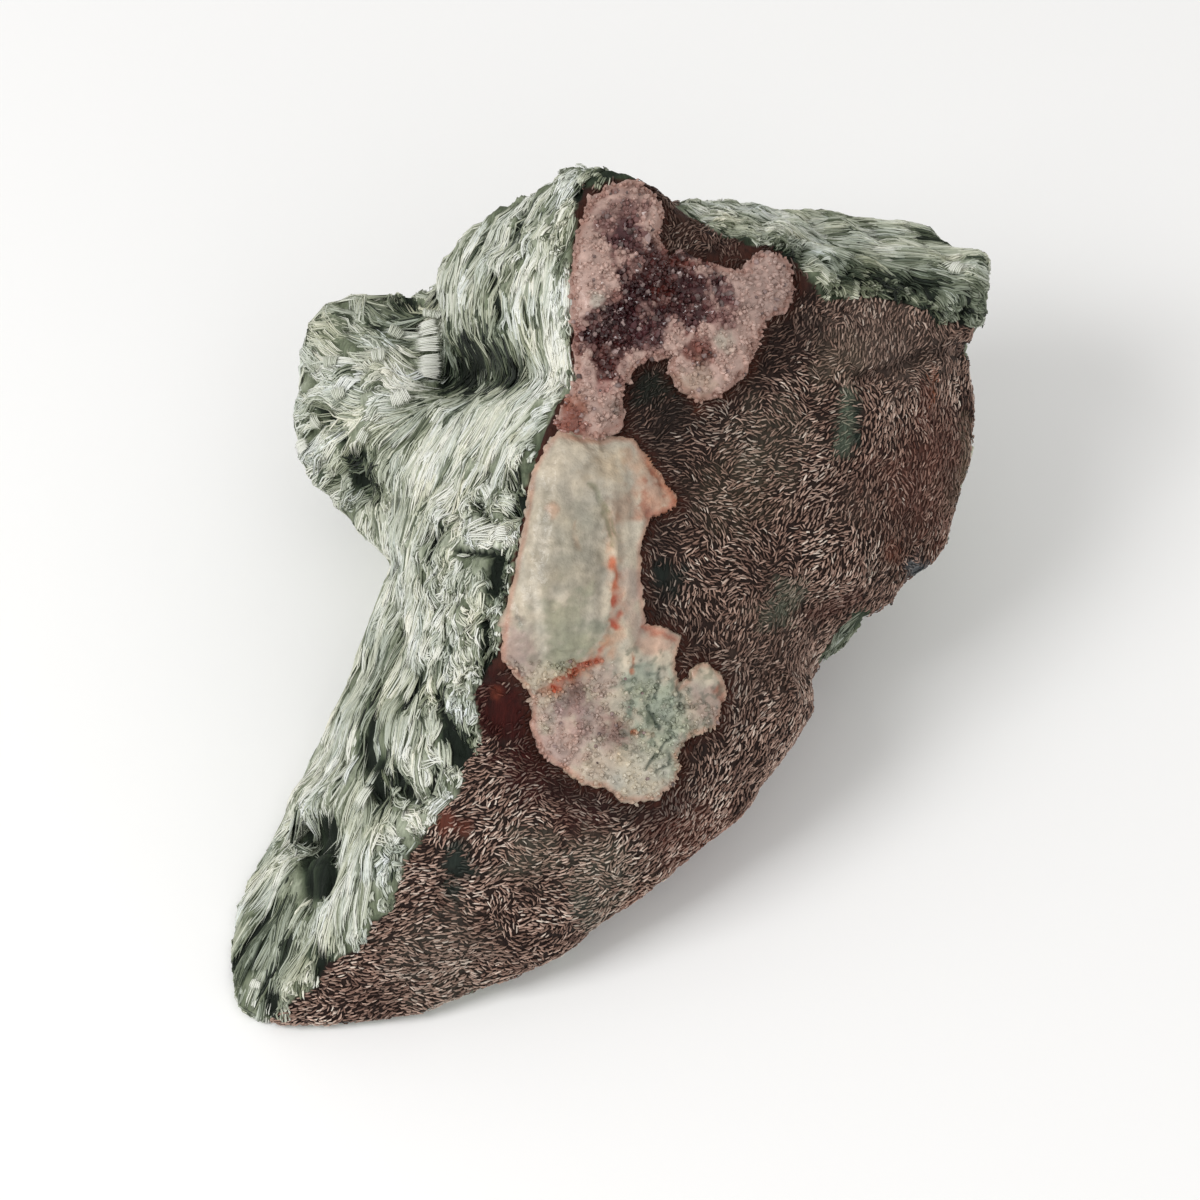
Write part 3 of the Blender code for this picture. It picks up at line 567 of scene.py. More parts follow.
class Wire:
    """One output in a material's node tree. Arithmetic on it adds a Math node, or a Vector Math
    node where it carries a colour or a vector."""

    def __init__(self, tree, socket=None):
        self.tree, self.socket = tree, socket

    def node(self, kind, settings, inputs, output=0):
        """Adds any node, sets it up and feeds it, and gives one of its outputs."""
        added = self.tree.nodes.new(kind)
        for name, value in settings.items():
            if name == "stops":
                for place, level in value:
                    stop = added.color_ramp.elements.new(place)
                    stop.color = (level, level, level, 1)
                for _ in range(2):
                    added.color_ramp.elements.remove(added.color_ramp.elements[0])
            else:
                setattr(added, name, value)
        for key, value in inputs.items():
            if isinstance(value, Wire):
                self.tree.links.new(value.socket, added.inputs[key])
            else:
                added.inputs[key].default_value = value
        return Wire(self.tree, added.outputs[output])

    def worked(self, operation, first, second):
        """A Math or Vector Math node with these two inputs."""
        kinds = {value.socket.type for value in (first, second) if isinstance(value, Wire)}
        if kinds & {"VECTOR", "RGBA"}:
            first, second = [(v,) * 3 if isinstance(v, (int, float)) else v for v in (first, second)]
            return self.node("ShaderNodeVectorMath", {"operation": operation}, {0: first, 1: second})
        return self.node("ShaderNodeMath", {"operation": operation}, {0: first, 1: second})

    def __add__(self, other):
        return self.worked("ADD", self, other)

    def __radd__(self, other):
        return self.worked("ADD", other, self)

    def __sub__(self, other):
        return self.worked("SUBTRACT", self, other)

    def __rsub__(self, other):
        return self.worked("SUBTRACT", other, self)

    def __mul__(self, other):
        return self.worked("MULTIPLY", self, other)

    def __rmul__(self, other):
        return self.worked("MULTIPLY", other, self)


def finish(name, mottle, size, roughness, bump=0.0, bump_size=0.3, coat=0.0, drawn=1.0, gloss=0.5):
    """A material that shows the stored tint, a little mottled, with fine bumps. Sizes are in
    millimetres. The mottling can be drawn out down the stone, as most of the fibres run."""
    material = bpy.data.materials.new(name)
    material.use_nodes = True
    tree = material.node_tree
    shader = tree.nodes["Principled BSDF"]
    stored = Wire(tree).node("ShaderNodeAttribute", {"attribute_name": "tint"}, {}, "Color")
    places = Wire(tree).node("ShaderNodeTexCoord", {}, {}, "Object")
    tilted = {"Vector": places, "Angle": LOOK_DOWN - math.pi / 2}
    places = places.node("ShaderNodeVectorRotate", {"rotation_type": "X_AXIS"}, tilted)
    places = places * (1 / MM, 1 / (drawn * MM), 1 / MM)
    spots = places.node(
        "ShaderNodeTexNoise", {}, {"Vector": places, "Scale": 1 / size, "Detail": 3.0}
    )
    colour = stored * (spots * (2 * mottle) + (1 - mottle))
    tree.links.new(colour.socket, shader.inputs["Base Color"])
    if bump:
        fine = places.node(
            "ShaderNodeTexNoise", {}, {"Vector": places, "Scale": 1 / bump_size, "Detail": 2.0}
        )
        raised = fine.node(
            "ShaderNodeBump", {}, {"Height": fine, "Distance": bump * MM, "Strength": 1.0}
        )
        tree.links.new(raised.socket, shader.inputs["Normal"])
    shader.inputs["Roughness"].default_value = roughness
    shader.inputs["Coat Weight"].default_value = coat
    shader.inputs["Specular IOR Level"].default_value = gloss
    return material


def belongs(piece, material, slot, *solids):
    """Gives a piece its material and its place in the shared frame."""
    piece.data.materials.clear()
    piece.data.materials.append(material)
    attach(piece, "root")
    if solids:
        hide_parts(*solids)


stone_finish = finish(
    "chlorite_stone", mottle=0.75, size=0.45, roughness=0.75, bump=0.3, bump_size=0.45, drawn=7.0,
    gloss=0.2,
)
belongs(stone, stone_finish, "chlorite", "seraphinite")

# The fibres of the green sides are thin, springy blades of chlorite that lie in sheaves, each
# sheaf fanned out from its root and lapped over the next one, as the stone split along them.
BLADE_STEPS = 5
# The skin's border over the peak of the crest.
PEAK_BORDER = [(-2.6, 53.5), (5, 54.8)]
# The stone is left bare up to this height, where it rests on the table.
BARE_FOOT = 1.2 * MM
# How high a blade bows off the stone at its steps, root to tip, and how wide it is there.
BLADE_BOW = (-0.4, 0.4, 0.8, 0.9, 0.35)
BLADE_WIDTHS = [1, 0.9, 1, 0.85, 1]
rng = np.random.default_rng(7)


def pinched_rod(name, rings, sides):
    """A rod of unit length along X, pinched at both ends, with a ring at each step between."""
    bpy.ops.mesh.primitive_cylinder_add(
        vertices=sides, radius=0.5, depth=1, location=(0.5, 0, 0), rotation=(0, math.pi / 2, 0),
        end_fill_type="NOTHING",
    )
    rod = bpy.context.object
    rod.name = name
    bpy.ops.object.transform_apply(location=True, rotation=True, scale=True)
    shape = bmesh.new()
    shape.from_mesh(rod.data)
    lengthwise = [edge for edge in shape.edges if abs(edge.verts[0].co.x - edge.verts[1].co.x) > 0.5]
    bmesh.ops.subdivide_edges(shape, edges=lengthwise, cuts=rings, use_grid_fill=True)
    for end in (0, 1):
        tip = [vert for vert in shape.verts if abs(vert.co.x - end) < 0.01]
        bmesh.ops.pointmerge(shape, verts=tip, merge_co=(end, 0, 0))
    bmesh.ops.recalc_face_normals(shape, faces=shape.faces)
    shape.to_mesh(rod.data)
    shape.free()
    return rod


def laid(name, rod, paths, ups, widths, heights, profile):
    """Copies of the rod laid along paths and joined in one piece: its rings follow the paths'
    steps, and the profile narrows them. The second value is each point's share of the length."""
    corner = np.array([vert.co for vert in rod.data.vertices])
    faces = [list(face.vertices) for face in rod.data.polygons]
    steps = paths.shape[1]
    ring = np.rint(corner[:, 0] * (steps - 1)).astype(int)
    along = np.gradient(paths, axis=1)
    along /= np.linalg.norm(along, axis=2)[:, :, None] + 1e-12
    side = np.cross(ups, along)
    side /= np.linalg.norm(side, axis=2)[:, :, None] + 1e-12
    over = np.cross(along, side)
    narrow = np.array(profile)[ring]
    placed = (
        paths[:, ring]
        + side[:, ring] * (corner[:, 1] * narrow)[None, :, None] * widths[:, None, None]
        + over[:, ring] * (corner[:, 2] * narrow)[None, :, None] * heights[:, None, None]
    )
    count, per = placed.shape[:2]
    sizes = np.array([len(face) for face in faces])
    loops = np.concatenate(faces)[None, :] + (np.arange(count) * per)[:, None]
    mesh = bpy.data.meshes.new(name)
    mesh.vertices.add(count * per)
    mesh.vertices.foreach_set("co", placed.astype(np.float32).ravel())
    mesh.loops.add(loops.size)
    mesh.loops.foreach_set("vertex_index", loops.astype(np.int32).ravel())
    mesh.polygons.add(count * len(faces))
    starts = np.concatenate([[0], np.cumsum(np.tile(sizes, count))[:-1]])
    mesh.polygons.foreach_set("loop_start", starts.astype(np.int32))
    mesh.polygons.foreach_set("use_smooth", np.ones(count * len(faces), bool))
    mesh.update(calc_edges=True)
    mesh.validate()
    piece = bpy.data.objects.new(name, mesh)
    bpy.context.collection.objects.link(piece)
    return piece, np.tile(corner[:, 0], count), np.repeat(np.arange(count), per)


surface = skin_tree(stone.data)


def on_stone(places):
    """The nearest points of the stone to places, and its outward directions there."""
    hits = [surface.find_nearest(place) for place in places]
    return np.array([hit[0] for hit in hits]), np.array([hit[1] for hit in hits])


def scattered(chances, count):
    """Random points on the stone, more where the chances of its points are higher."""
    share = chances / chances.sum()
    chosen = rng.choice(len(stone_points), count, p=share)
    return stone_points[chosen] + rng.normal(0, 0.3 * MM, (count, 3))


def turned(ways, normals, angles):
    """Directions along the surface, turned in it by angles in radians."""
    return ways * np.cos(angles)[:, None] + np.cross(normals, ways) * np.sin(angles)[:, None]


def sheaves(name, chances, count, blades, length, width, lift, shift=0.0, over=False):
    """Lays sheaves of side-by-side blades on the stone where the chances are, as one piece. Sizes
    are in millimetres. Their tips lap over the skin's border where over is true."""
    here, normal = on_stone(scattered(chances, count))
    a, b, _ = seen(here).T
    knots = matted(a, b)
    long = length * rng.uniform(0.6, 1.4, count) * (1 - 0.55 * knots)
    turn = rng.normal(0, 0.08, count) + knots * rng.normal(0, 0.3, count)
    curl = rng.normal(0, 0.03, count) + knots * rng.normal(0, 0.22, count)
    spine, sides = [], []
    for step in range(BLADE_STEPS):
        way = turned(grain(here, normal), normal, turn + curl * step)
        spine.append(here)
        sides.append(np.cross(normal, way))
        here, normal = on_stone(here + way * (long / (BLADE_STEPS - 1) * MM)[:, None])
    which = np.repeat(np.arange(count), blades)
    place = np.tile(np.arange(blades) - (blades - 1) / 2, count)
    total = len(which)
    fan = rng.normal(0.0, 0.16, count)[which]
    slip = rng.uniform(-0.6, 0.6, total)
    rise = (lift * rng.uniform(0.1, 1.2, count) * (1 + 0.8 * knots))[which]
    rise *= rng.uniform(0.85, 1.15, total)
    wander = rng.normal(0, 0.08, total)
    paths, ups = [], []
    for step, height in enumerate(BLADE_BOW):
        share = step / (BLADE_STEPS - 1)
        spread = place * width * (0.74 + fan * (share - 0.3)) + wander * share
        along = spine[min(step + 1, BLADE_STEPS - 1)] - spine[max(step - 1, 0)]
        centre = spine[step][which] + along[which] * (slip * 0.5)[:, None]
        centre += sides[step][which] * (spread * MM)[:, None]
        near, out = on_stone(centre)
        bowed = rise * height - 0.12 * abs(place) / blades
        paths.append(near + out * (bowed * MM)[:, None])
        ups.append(out)
    paths, ups = np.stack(paths, 1), np.stack(ups, 1)
    free = ~under_crust(paths[:, 2], 0.0) & ~under_crust(paths[:, 4], -0.1)
    free &= paths[:, :, 2].min(1) > 0.2 * MM
    for step in (1, 2, 3):
        free &= ~in_cleft(paths[:, step])
    for step in (1, 2, 2 if over else 4):
        free &= greenness(paths[:, step]) > 0
    paths, ups = paths[free], ups[free]
    wide = width * rng.uniform(0.7, 1.3, len(paths)) * MM
    thick = wide * 0.6 * rng.uniform(0.8, 1.3, len(paths))
    piece, share, blade = laid(name, blade_rod, paths, ups, wide, thick, BLADE_WIDTHS)
    middle, sheaf = paths[:, 2], which[free]
    tones = green_tone(middle) + rng.normal(0, 0.05, count)[sheaf] * (1 + knots[sheaf])
    drawn_out = streaks(middle, grain(middle, ups[:, 2]), 1.8, 6, 36)
    tones += 0.2 * drawn_out - 0.34 * ease((-0.12 - drawn_out) * 3) + rng.normal(0, 0.06, len(paths))
    # Painted light and shade: each blade is darker at its root, tucked under the sheaf before it, and
    # lighter at its lifted tip.
    tone = tones[blade] + shift + 0.14 * (share - 0.5)
    colours = toned(np.clip(tone, 0, 1), GREENS)
    warm = swell(middle, 5, 51)[blade, None] * 1.1 + rng.normal(0, 0.2, len(paths))[blade, None]
    colours *= 1 + warm * (0.05, 0.01, -0.08)
    tint(piece, colours)
    belongs(piece, fibre_finish, "chlorite")


blade_rod = pinched_rod("blade_pattern", 3, 3)
fibre_finish = finish("silky_fibre", mottle=0.2, size=0.6, roughness=0.48, gloss=0.35)
a, b, _ = seen(stone_points).T
front = (stone_normals @ TO_EYE > -0.3).astype(float)
left = (within(GREEN_SIDE, a, b) | within(SLIVER, a, b)).astype(float)
top = within(GREEN_TOP, a, b).astype(float)
clear = 1 - under_crust(stone_points, 0.0)
raised = stone_points[:, 2] > BARE_FOOT
knots = matted(a, b)
left_side = green * front * left * clear * raised
top_side = green * front * top * clear * raised
near_skin = ease(1.6 - distance_to(CREST, a, b) / 2.2)
near_skin += ease(1.6 - distance_to(GREEN_TOP[:12], a, b) / 2.4)
near_skin += ease(1.6 - distance_to(PEAK_BORDER, a, b) / 2)
edge_on = abs(stone_normals @ TO_EYE) < 0.4
bare = 1 - in_cleft(stone_points)
sheaves(
    "left_fibres_1", left_side * bare,
    count=1080, blades=10, length=10.5, width=0.31, lift=0.24, shift=-0.01,
)
sheaves(
    "left_fibres_2", left_side * bare * (0.5 + 1.2 * knots),
    count=1350, blades=7, length=6.4, width=0.26, lift=0.42, shift=0.05,
)
sheaves(
    "crest_fibres", (left_side + top_side) * bare * near_skin,
    count=780, blades=5, length=1.9, width=0.27, lift=0.7, shift=0.04, over=True,
)
sheaves(
    "edge_fibres", green * edge_on * clear * raised,
    count=520, blades=6, length=4.5, width=0.32, lift=0.25, shift=-0.03,
)
sheaves(
    "top_fibres", top_side,
    count=560, blades=10, length=6.0, width=0.31, lift=0.35, shift=0.01,
)
unseen_side = green * raised * clear * (1 - front * np.maximum(left, top))
sheaves(
    "back_fibres", unseen_side,
    count=980, blades=10, length=9.0, width=0.6, lift=0.5, shift=-0.04,
)

# Here and there the stone split across its fibres, in small flat white faces that catch the light. Each is
# a stack of thin blades side by side, with fine lines between them: the place in the view of its middle,
# its heading, length and width in millimetres, and its tone. The pale tones are partly the faces' own
# colour and partly painted sheen.
PLATES = [
    ((-22.0, 35.0), 10, 4.0, 1.8, 1.0), ((-22.1, 33.0), 3, 4.4, 1.8, 1.0),
    ((-22.1, 30.4), -2, 4.2, 3.0, 1.0), ((-25.9, 26.2), 292, 3.0, 2.4, 0.97),
    ((-28.6, 31.5), 100, 2.8, 1.6, 0.86), ((-26.8, 34.4), 60, 2.6, 1.8, 0.8),
    ((-21.6, 36.9), 80, 1.8, 2.4, 0.84), ((-38.2, 19.6), 200, 2.4, 2.0, 0.95),
    ((-36.4, 23.4), 130, 2.6, 1.4, 0.84), ((-34.6, 30.6), 95, 2.4, 1.8, 0.78),
    ((-30.6, 21.4), 240, 2.8, 1.2, 0.84), ((-33.6, 26.8), 110, 2.6, 1.6, 0.82),
    ((-15.8, 9.6), 24, 4.2, 0.7, 0.97), ((-14.6, 8.8), 8, 5.4, 0.7, 1.0),
    ((-15.2, 7.8), -8, 4.8, 0.7, 0.97), ((-12.6, 8.4), 4, 2.6, 1.6, 1.0),
    ((46.4, 42.6), 250, 2.6, 1.6, 0.92), ((44.8, 43.0), 215, 2.4, 0.9, 0.85),
    ((-37.4, -20.4), 242, 4.2, 1.2, 0.9), ((-44.6, -50), 250, 1.8, 1.2, 0.95),
]
PLATE_PITCH = 0.2
PLATE_RISE = 1.35


def under_eye(a, b):
    """The point of the stone that shows at a place in the view, and its outward direction."""
    eye = VIEW_CENTRE + TO_EYE * EYE_DISTANCE
    place = VIEW_CENTRE + (RIGHT * a + UP_VIEW * b) * MM
    hit = surface.ray_cast(eye, place - eye)
    return hit[:2] if hit[0] else surface.find_nearest(place)[:2]


def plates(name):
    """Lays the white faces over the fibres, as one piece."""
    paths, ups, tones = [], [], []
    for (a, b), heading, length, width, tone in PLATES:
        seat, out = under_eye(a, b)
        out = (out * 2 + TO_EYE).normalized()
        turn = math.radians(heading)
        way = RIGHT * math.cos(turn) + UP_VIEW * math.sin(turn)
        way = (way - out * way.dot(out)).normalized()
        side = out.cross(way)
        count = max(3, round(width / PLATE_PITCH))
        for place in np.linspace(-width / 2, width / 2, count):
            reach = length * (1 - 0.5 * (abs(place) / width) ** 2) * rng.uniform(0.75, 1.1)
            rise = PLATE_RISE + rng.uniform(-0.08, 0.08) - 0.3 * abs(place) / width
            for share in np.linspace(-0.5, 0.5, BLADE_STEPS):
                offset = way * (share * reach) + side * (place * (1 + 0.3 * share))
                offset += out * (rise * (1 - 1.3 * share * share))
                paths.append(seat + offset * MM)
            ups.append([out] * BLADE_STEPS)
            tones.append(tone + rng.normal(0, 0.05))
    paths = np.reshape(paths, (-1, BLADE_STEPS, 3))
    ups, tones = np.array(ups), np.array(tones)
    wide = np.full(len(paths), PLATE_PITCH * 1.5 * MM)
    piece, _, blade = laid(name, blade_rod, paths, ups, wide, wide * 0.5, [1] * BLADE_STEPS)
    tint(piece, toned(np.clip(tones, 0, 1), GREENS)[blade])
    belongs(piece, plate_finish, "chlorite")


plate_finish = finish("split_face", mottle=0.08, size=0.8, roughness=0.28)
plates("white_plates")
bpy.data.objects.remove(blade_rod)

# The brown skin is covered with worm-shaped grains of chlorite, each about a millimetre long.
# They lie side by side in small swirled patches, like basket work, with maroon gaps between, darkened with
# painted shade.
WORM_PITCH = 1.02
ROW_PITCH = 0.28
# A grain's steps from end to end, as shares of its half length, and how far each is lifted.
WORM_ARCH = [(-1, -0.16), (-0.45, 0.04), (0.45, 0.04), (1, -0.16)]
WORM_STEPS = len(WORM_ARCH)
PATCH_TRIES = 7000
PATCH_SPACING = 2.9
PATCH_REACH = 5.0
# The grains are two pieces, left and right of this place in the view.
SKIN_MIDDLE = 14
# The lie of the grains where it is plain to see, as strokes in the view.
WORM_STROKES = [
    (32.5, 36.4, 75), (39, 34, 60), (45, 31, 60), (24, 27, 150), (20, 20, 5), (14, 17, 0),
    (29, 26, 20), (37, 24, 70), (43, 19, 80), (26, 12, 25), (18, 8, 160), (38, 8, 95),
    (10, -2, 110), (20, -4, 30), (27, -10, 70), (5, -30, 15), (-5, -36, 170), (-14, -30, 20),
    (-12, -40, 150), (-22, -44, 10), (-30, -50, 25), (-2, -44, 30), (10, -32, 35), (15, -24, 80),
    (12, 34, 45), (2, 38, 100),
]

# Places of the skin that are worn bare of grains: (a, b) and reach.
BARE_PLACES = [
    ((8.2, 3.2), 1.2), ((-18.9, -34), 1.2), ((-20, -28.8), 0.8), ((-15, -9), 2.2), ((-12.6, -14), 2.2),
    ((10.6, 50.4), 1.2), ((19.4, 45.8), 1.4), ((26.6, 41), 1.2), ((14.6, 44.8), 0.9),
]
# Where the grains thin out, in the sunken maroon place beside the tongue.
THIN_PLACE = (-11.5, -14.5)
THIN_REACH = 4.2


def spread_out(places, spacing):
    """Keeps the places that are at least the spacing apart from those kept before them."""
    kept = places[:1]
    for place in places[1:]:
        if np.min(np.sum((kept - place) ** 2, axis=1)) > spacing * spacing:
            kept = np.vstack([kept, place])
    return kept


def worms(chances):
    """Lays patches of side-by-side grains on the stone where the chances are, as two pieces."""
    seeds, outward = on_stone(spread_out(scattered(chances, PATCH_TRIES), PATCH_SPACING * MM))
    nearest = KDTree(len(seeds))
    for index, seed in enumerate(seeds):
        nearest.insert(seed, index)
    nearest.balance()
    a, b, _ = seen(seeds).T
    heading = heading_from(WORM_STROKES, a, b, 1, 3, ends=2) + rng.normal(0, 0.42, len(seeds))
    way = along_skin(headed(heading), outward, guard=0)
    across = np.cross(outward, way)
    rows = np.arange(-int(PATCH_REACH / ROW_PITCH), int(PATCH_REACH / ROW_PITCH) + 1)
    cells = np.arange(-int(PATCH_REACH / WORM_PITCH), int(PATCH_REACH / WORM_PITCH) + 1)
    row, cell = [grid.ravel() for grid in np.meshgrid(rows, cells)]
    which = np.repeat(np.arange(len(seeds)), len(row))
    total = len(which)
    beside = np.tile(row * ROW_PITCH, len(seeds)) + rng.normal(0, 0.07, total)
    ahead = np.tile((cell + 0.5 * (row % 2)) * WORM_PITCH, len(seeds)) + rng.normal(0, 0.22, total)
    bend = rng.normal(0, 0.24, len(seeds))[which]
    angle = bend * ahead + rng.normal(0, 0.24, total)
    offset = way[which] * ahead[:, None] + across[which] * (beside + bend * ahead * ahead / 2)[:, None]
    centre = seeds[which] + offset * MM
    own = np.array([nearest.find(place)[1] for place in centre]) == which
    which, centre, angle = which[own], centre[own], angle[own]
    here, normal = on_stone(centre)
    a, b, _ = seen(here).T
    keep = (greenness(here) < 0.5) & ~under_crust(here, 0.15) & (here[:, 2] > 0.5 * MM)
    keep &= ~((crust_distance(here) < 2) & (b > -9) & (distance_to(CREST, a, b) < 1.8))
    for (pa, pb), reach in BARE_PLACES:
        keep &= np.hypot(a - pa, b - pb) > reach * rng.uniform(0.6, 1.3, len(here))
    keep &= rng.random(len(here)) > 0.03 + 0.5 * spot(a, b, THIN_PLACE, THIN_REACH, 0)
    which, here, normal, angle = which[keep], here[keep], normal[keep], angle[keep]
    a, b = a[keep], b[keep]
    lie = turned(along_skin(way[which], normal), normal, angle)
    half = WORM_PITCH * rng.uniform(0.38, 0.8, len(here)) * MM
    curl = rng.normal(0, 0.17, len(here)) * MM
    high = rng.uniform(-0.02, 0.2, len(here)) * MM
    sideways = np.cross(normal, lie)
    paths, ups = [], []
    for share, drop in WORM_ARCH:
        step = lie * (half * share)[:, None] + sideways * (curl * (1 - share * share))[:, None]
        paths.append(here + step + normal * (high + drop * MM)[:, None])
        ups.append(normal)
    paths, ups = np.stack(paths, 1), np.stack(ups, 1)
    wide = ROW_PITCH * rng.uniform(0.6, 1.1, len(paths)) * MM
    tone = 0.5 + rng.normal(0, 0.1, len(seeds))[which] + rng.normal(0, 0.2, len(paths))
    tone += 0.2 * swell(here, 9, 61) + 0.1 * ease((-16 - b) / 8)
    crowns = toned(np.clip(tone, 0, 1), BROWNS)
    moved = here + rng.normal(0, 0.35 * MM, here.shape)
    crowns = streaked(painted(crowns, moved, SKIN_SPOTS, 44), moved, SKIN_STREAKS, 46)
    reach = crust_distance(here)
    rust = ease(1.3 - reach / 1.2) * beside_crust(here) * 0.75
    crowns += rust[:, None] * (linear(RUST) * 1.3 - crowns)
    # Painted shade: the grains darken towards the crusts, up to 7 mm from them.
    crowns *= (1 - 0.5 * ease(1 - reach / 7) * rng.uniform(0.7, 1, len(here)))[:, None]
    crowns *= rng.uniform(0.75, 1.3, len(here))[:, None]
    # Painted light and shade: each grain is lighter on its top and darker down its sides.
    grain_painted_light = np.clip([0.66 + vert.co.z * 1.1 for vert in worm_rod.data.vertices], 0.2, 1.2)
    left_half = a < SKIN_MIDDLE
    for name, part in (("skin_grains_left", left_half), ("skin_grains_right", ~left_half)):
        size = wide[part]
        piece, _, worm = laid(name, worm_rod, paths[part], ups[part], size, size * 0.8, [1] * WORM_STEPS)
        tint(piece, crowns[part][worm] * np.tile(grain_painted_light, part.sum())[:, None])
        belongs(piece, grain_finish, "chlorite")


BROWNS = [
    (54, 37, 31), (110, 83, 72), (151, 121, 107), (190, 161, 146), (226, 208, 194),
]
worm_rod = pinched_rod("worm_pattern", 2, 3)
grain_finish = finish("worm_grains", mottle=0.25, size=0.7, roughness=0.55, gloss=0.3)
worms((1 - green) * clear * raised)
bpy.data.objects.remove(worm_rod)

# The rose druse is a crust of small crystals grown on the crest. Its rim is pinkish white and
# lumpy, and its hollow is lined with dark purple crystals that sparkle, some of them whitish.
CRUST_GRAIN = 0.3 * MM
# A crust's underside is what faces the stone within this distance, and it is sunk by some
# millimetres.
UNDERSIDE = 1.2 * MM
SINK = 1.1
PINK = (189, 160, 149)
DRUSE_EDGE = (140, 84, 66)
WHITISH = (170, 146, 142)
PURPLE = (56, 30, 34)
DRUSE_SPOTS = [
    ((22, 40), 5, 0.5, (172, 151, 143)), ((3, 50), 2.8, 0.8, (117, 93, 89)),
    ((3.8, 47.2), 2.2, 0.85, (72, 46, 53)), ((7.4, 42.4), 4.2, 0.95, (70, 42, 40)),
    ((10.4, 39.8), 4.0, 0.95, (66, 40, 38)), ((5, 38), 3.4, 0.9, PURPLE),
    ((2.3, 35.8), 4.0, 0.95, PURPLE), ((6, 34.8), 2.6, 0.8, (83, 57, 60)),
    ((13.2, 39), 3.2, 0.85, (76, 50, 53)), ((16, 37.5), 2, 0.5, (120, 84, 83)),
    ((-1.2, 33.6), 1.6, 0.9, PURPLE), ((1, 31.2), 2.3, 0.9, (76, 40, 36)),
    ((8.4, 39.8), 1.3, 0.7, (96, 53, 43)), ((13, 32.5), 2.0, 0.8, (112, 67, 53)),
    ((16, 33.7), 1.3, 0.9, (191, 179, 165)), ((-0.5, 39.3), 1.3, 0.95, (193, 182, 170)),
    ((2, 39.6), 0.9, 0.9, (163, 129, 119)), ((12.1, 28.1), 2.4, 0.6, (177, 158, 139)),
    ((-3, 24.8), 1.8, 0.8, (166, 112, 86)), ((-3.5, 22.9), 1.8, 0.8, (146, 98, 84)),
    ((2.2, 24.6), 1.1, 0.6, (146, 141, 131)), ((0.5, 27.6), 1.0, 0.5, (155, 103, 96)),
]


def crusted(name, node, seed, spread, growths):
    """A crust with the form of its solid, a ragged edge, and its underside sunk in the stone. The
    edge spreads by some millimetres all round, and further at the growths: (a, b), reach, spread."""
    piece = grown_from(node, name, CRUST_GRAIN, 4)
    points, normals = skin_of(piece)
    near, out = on_stone(points)
    a, b, _ = seen(points).T
    close = np.linalg.norm(points - near, axis=1) < UNDERSIDE
    under = close & (np.sum(normals * out, axis=1) < -0.2)
    stray = np.column_stack([
        swell(points, 2.4, seed + k) + 0.5 * swell(points, 1.0, seed + k) for k in range(3)
    ])
    stray -= normals * np.sum(stray * normals, axis=1)[:, None]
    sideways = normals - out * np.sum(normals * out, axis=1)[:, None]
    wider = spread + 0.45 * swell(points, 1.5, seed + 3) + 0.3 * swell(points, 0.7, seed + 4)
    for (pa, pb), reach, more in growths:
        wider += more * ease(1.5 - np.hypot(a - pa, b - pb) / reach)
    points = points - out * (under * SINK * MM)[:, None] + stray * 0.5 * MM
    reshape(piece, points + sideways * (wider * MM)[:, None])
    finish_with(piece, "SMOOTH", iterations=1)
    return piece


def crystals(name, piece, chances, count, small, large, colours, whites, material, slot, vary=0.3):
    """Small pointed crystals grown on a crust where the chances are, as one piece. They are from
    small to large millimetres wide, and a share of them is whitish."""
    bpy.ops.mesh.primitive_cone_add(vertices=6, radius1=0.5, depth=0.6, location=(0, 0, 0.8))
    point = bpy.context.object
    bpy.ops.mesh.primitive_cylinder_add(vertices=6, radius=0.5, depth=1.0, location=(0, 0, 0))
    stub = bpy.context.object
    point.select_set(True)
    bpy.ops.object.join()
    bpy.ops.object.transform_apply(location=True, rotation=True, scale=True)
    shape = bmesh.new()
    shape.from_mesh(stub.data)
    bmesh.ops.remove_doubles(shape, verts=shape.verts, dist=0.01)
    lids = [face for face in shape.faces if len(face.verts) > 4]
    inner = [face for face in lids if abs(face.calc_center_median().z - 0.5) < 0.01]
    bmesh.ops.delete(shape, geom=inner, context="FACES_ONLY")
    bmesh.ops.recalc_face_normals(shape, faces=shape.faces)
    corner = np.array([vert.co for vert in shape.verts])
    shape.verts.index_update()
    faces = [[vert.index for vert in face.verts] for face in shape.faces]
    shape.free()
    bpy.data.objects.remove(stub)
    points, normals = skin_of(piece)
    chosen = rng.choice(len(points), count, p=chances / chances.sum())
    seats = points[chosen] + rng.normal(0, 0.1 * MM, (count, 3))
    axis = normals[chosen] + rng.normal(0, 0.35, (count, 3))
    axis /= np.linalg.norm(axis, axis=1)[:, None]
    side = np.cross(axis, rng.normal(0, 1, (count, 3)))
    side /= np.linalg.norm(side, axis=1)[:, None]
    size = (small + (large - small) * rng.random(count) ** 2) * MM
    u, v, w = corner.T[:, None, :, None]
    offset = side[:, None] * u + np.cross(axis, side)[:, None] * v + axis[:, None] * (w - 0.15)
    placed = seats[:, None] + offset * size[:, None, None]
    mesh = bpy.data.meshes.new(name)
    every = [[v + k * len(corner) for v in face] for k in range(count) for face in faces]
    mesh.from_pydata(placed.reshape(-1, 3).tolist(), [], every)
    grown = bpy.data.objects.new(name, mesh)
    bpy.context.collection.objects.link(grown)
    own = colours[chosen] * rng.uniform(1 - vary, 1 + vary, count)[:, None]
    pale = rng.random(count) < whites
    own[pale] = linear(WHITISH) * rng.uniform(0.25, 0.95, pale.sum())[:, None]
    tint(grown, np.repeat(own, len(corner), axis=0))
    belongs(grown, material, slot)


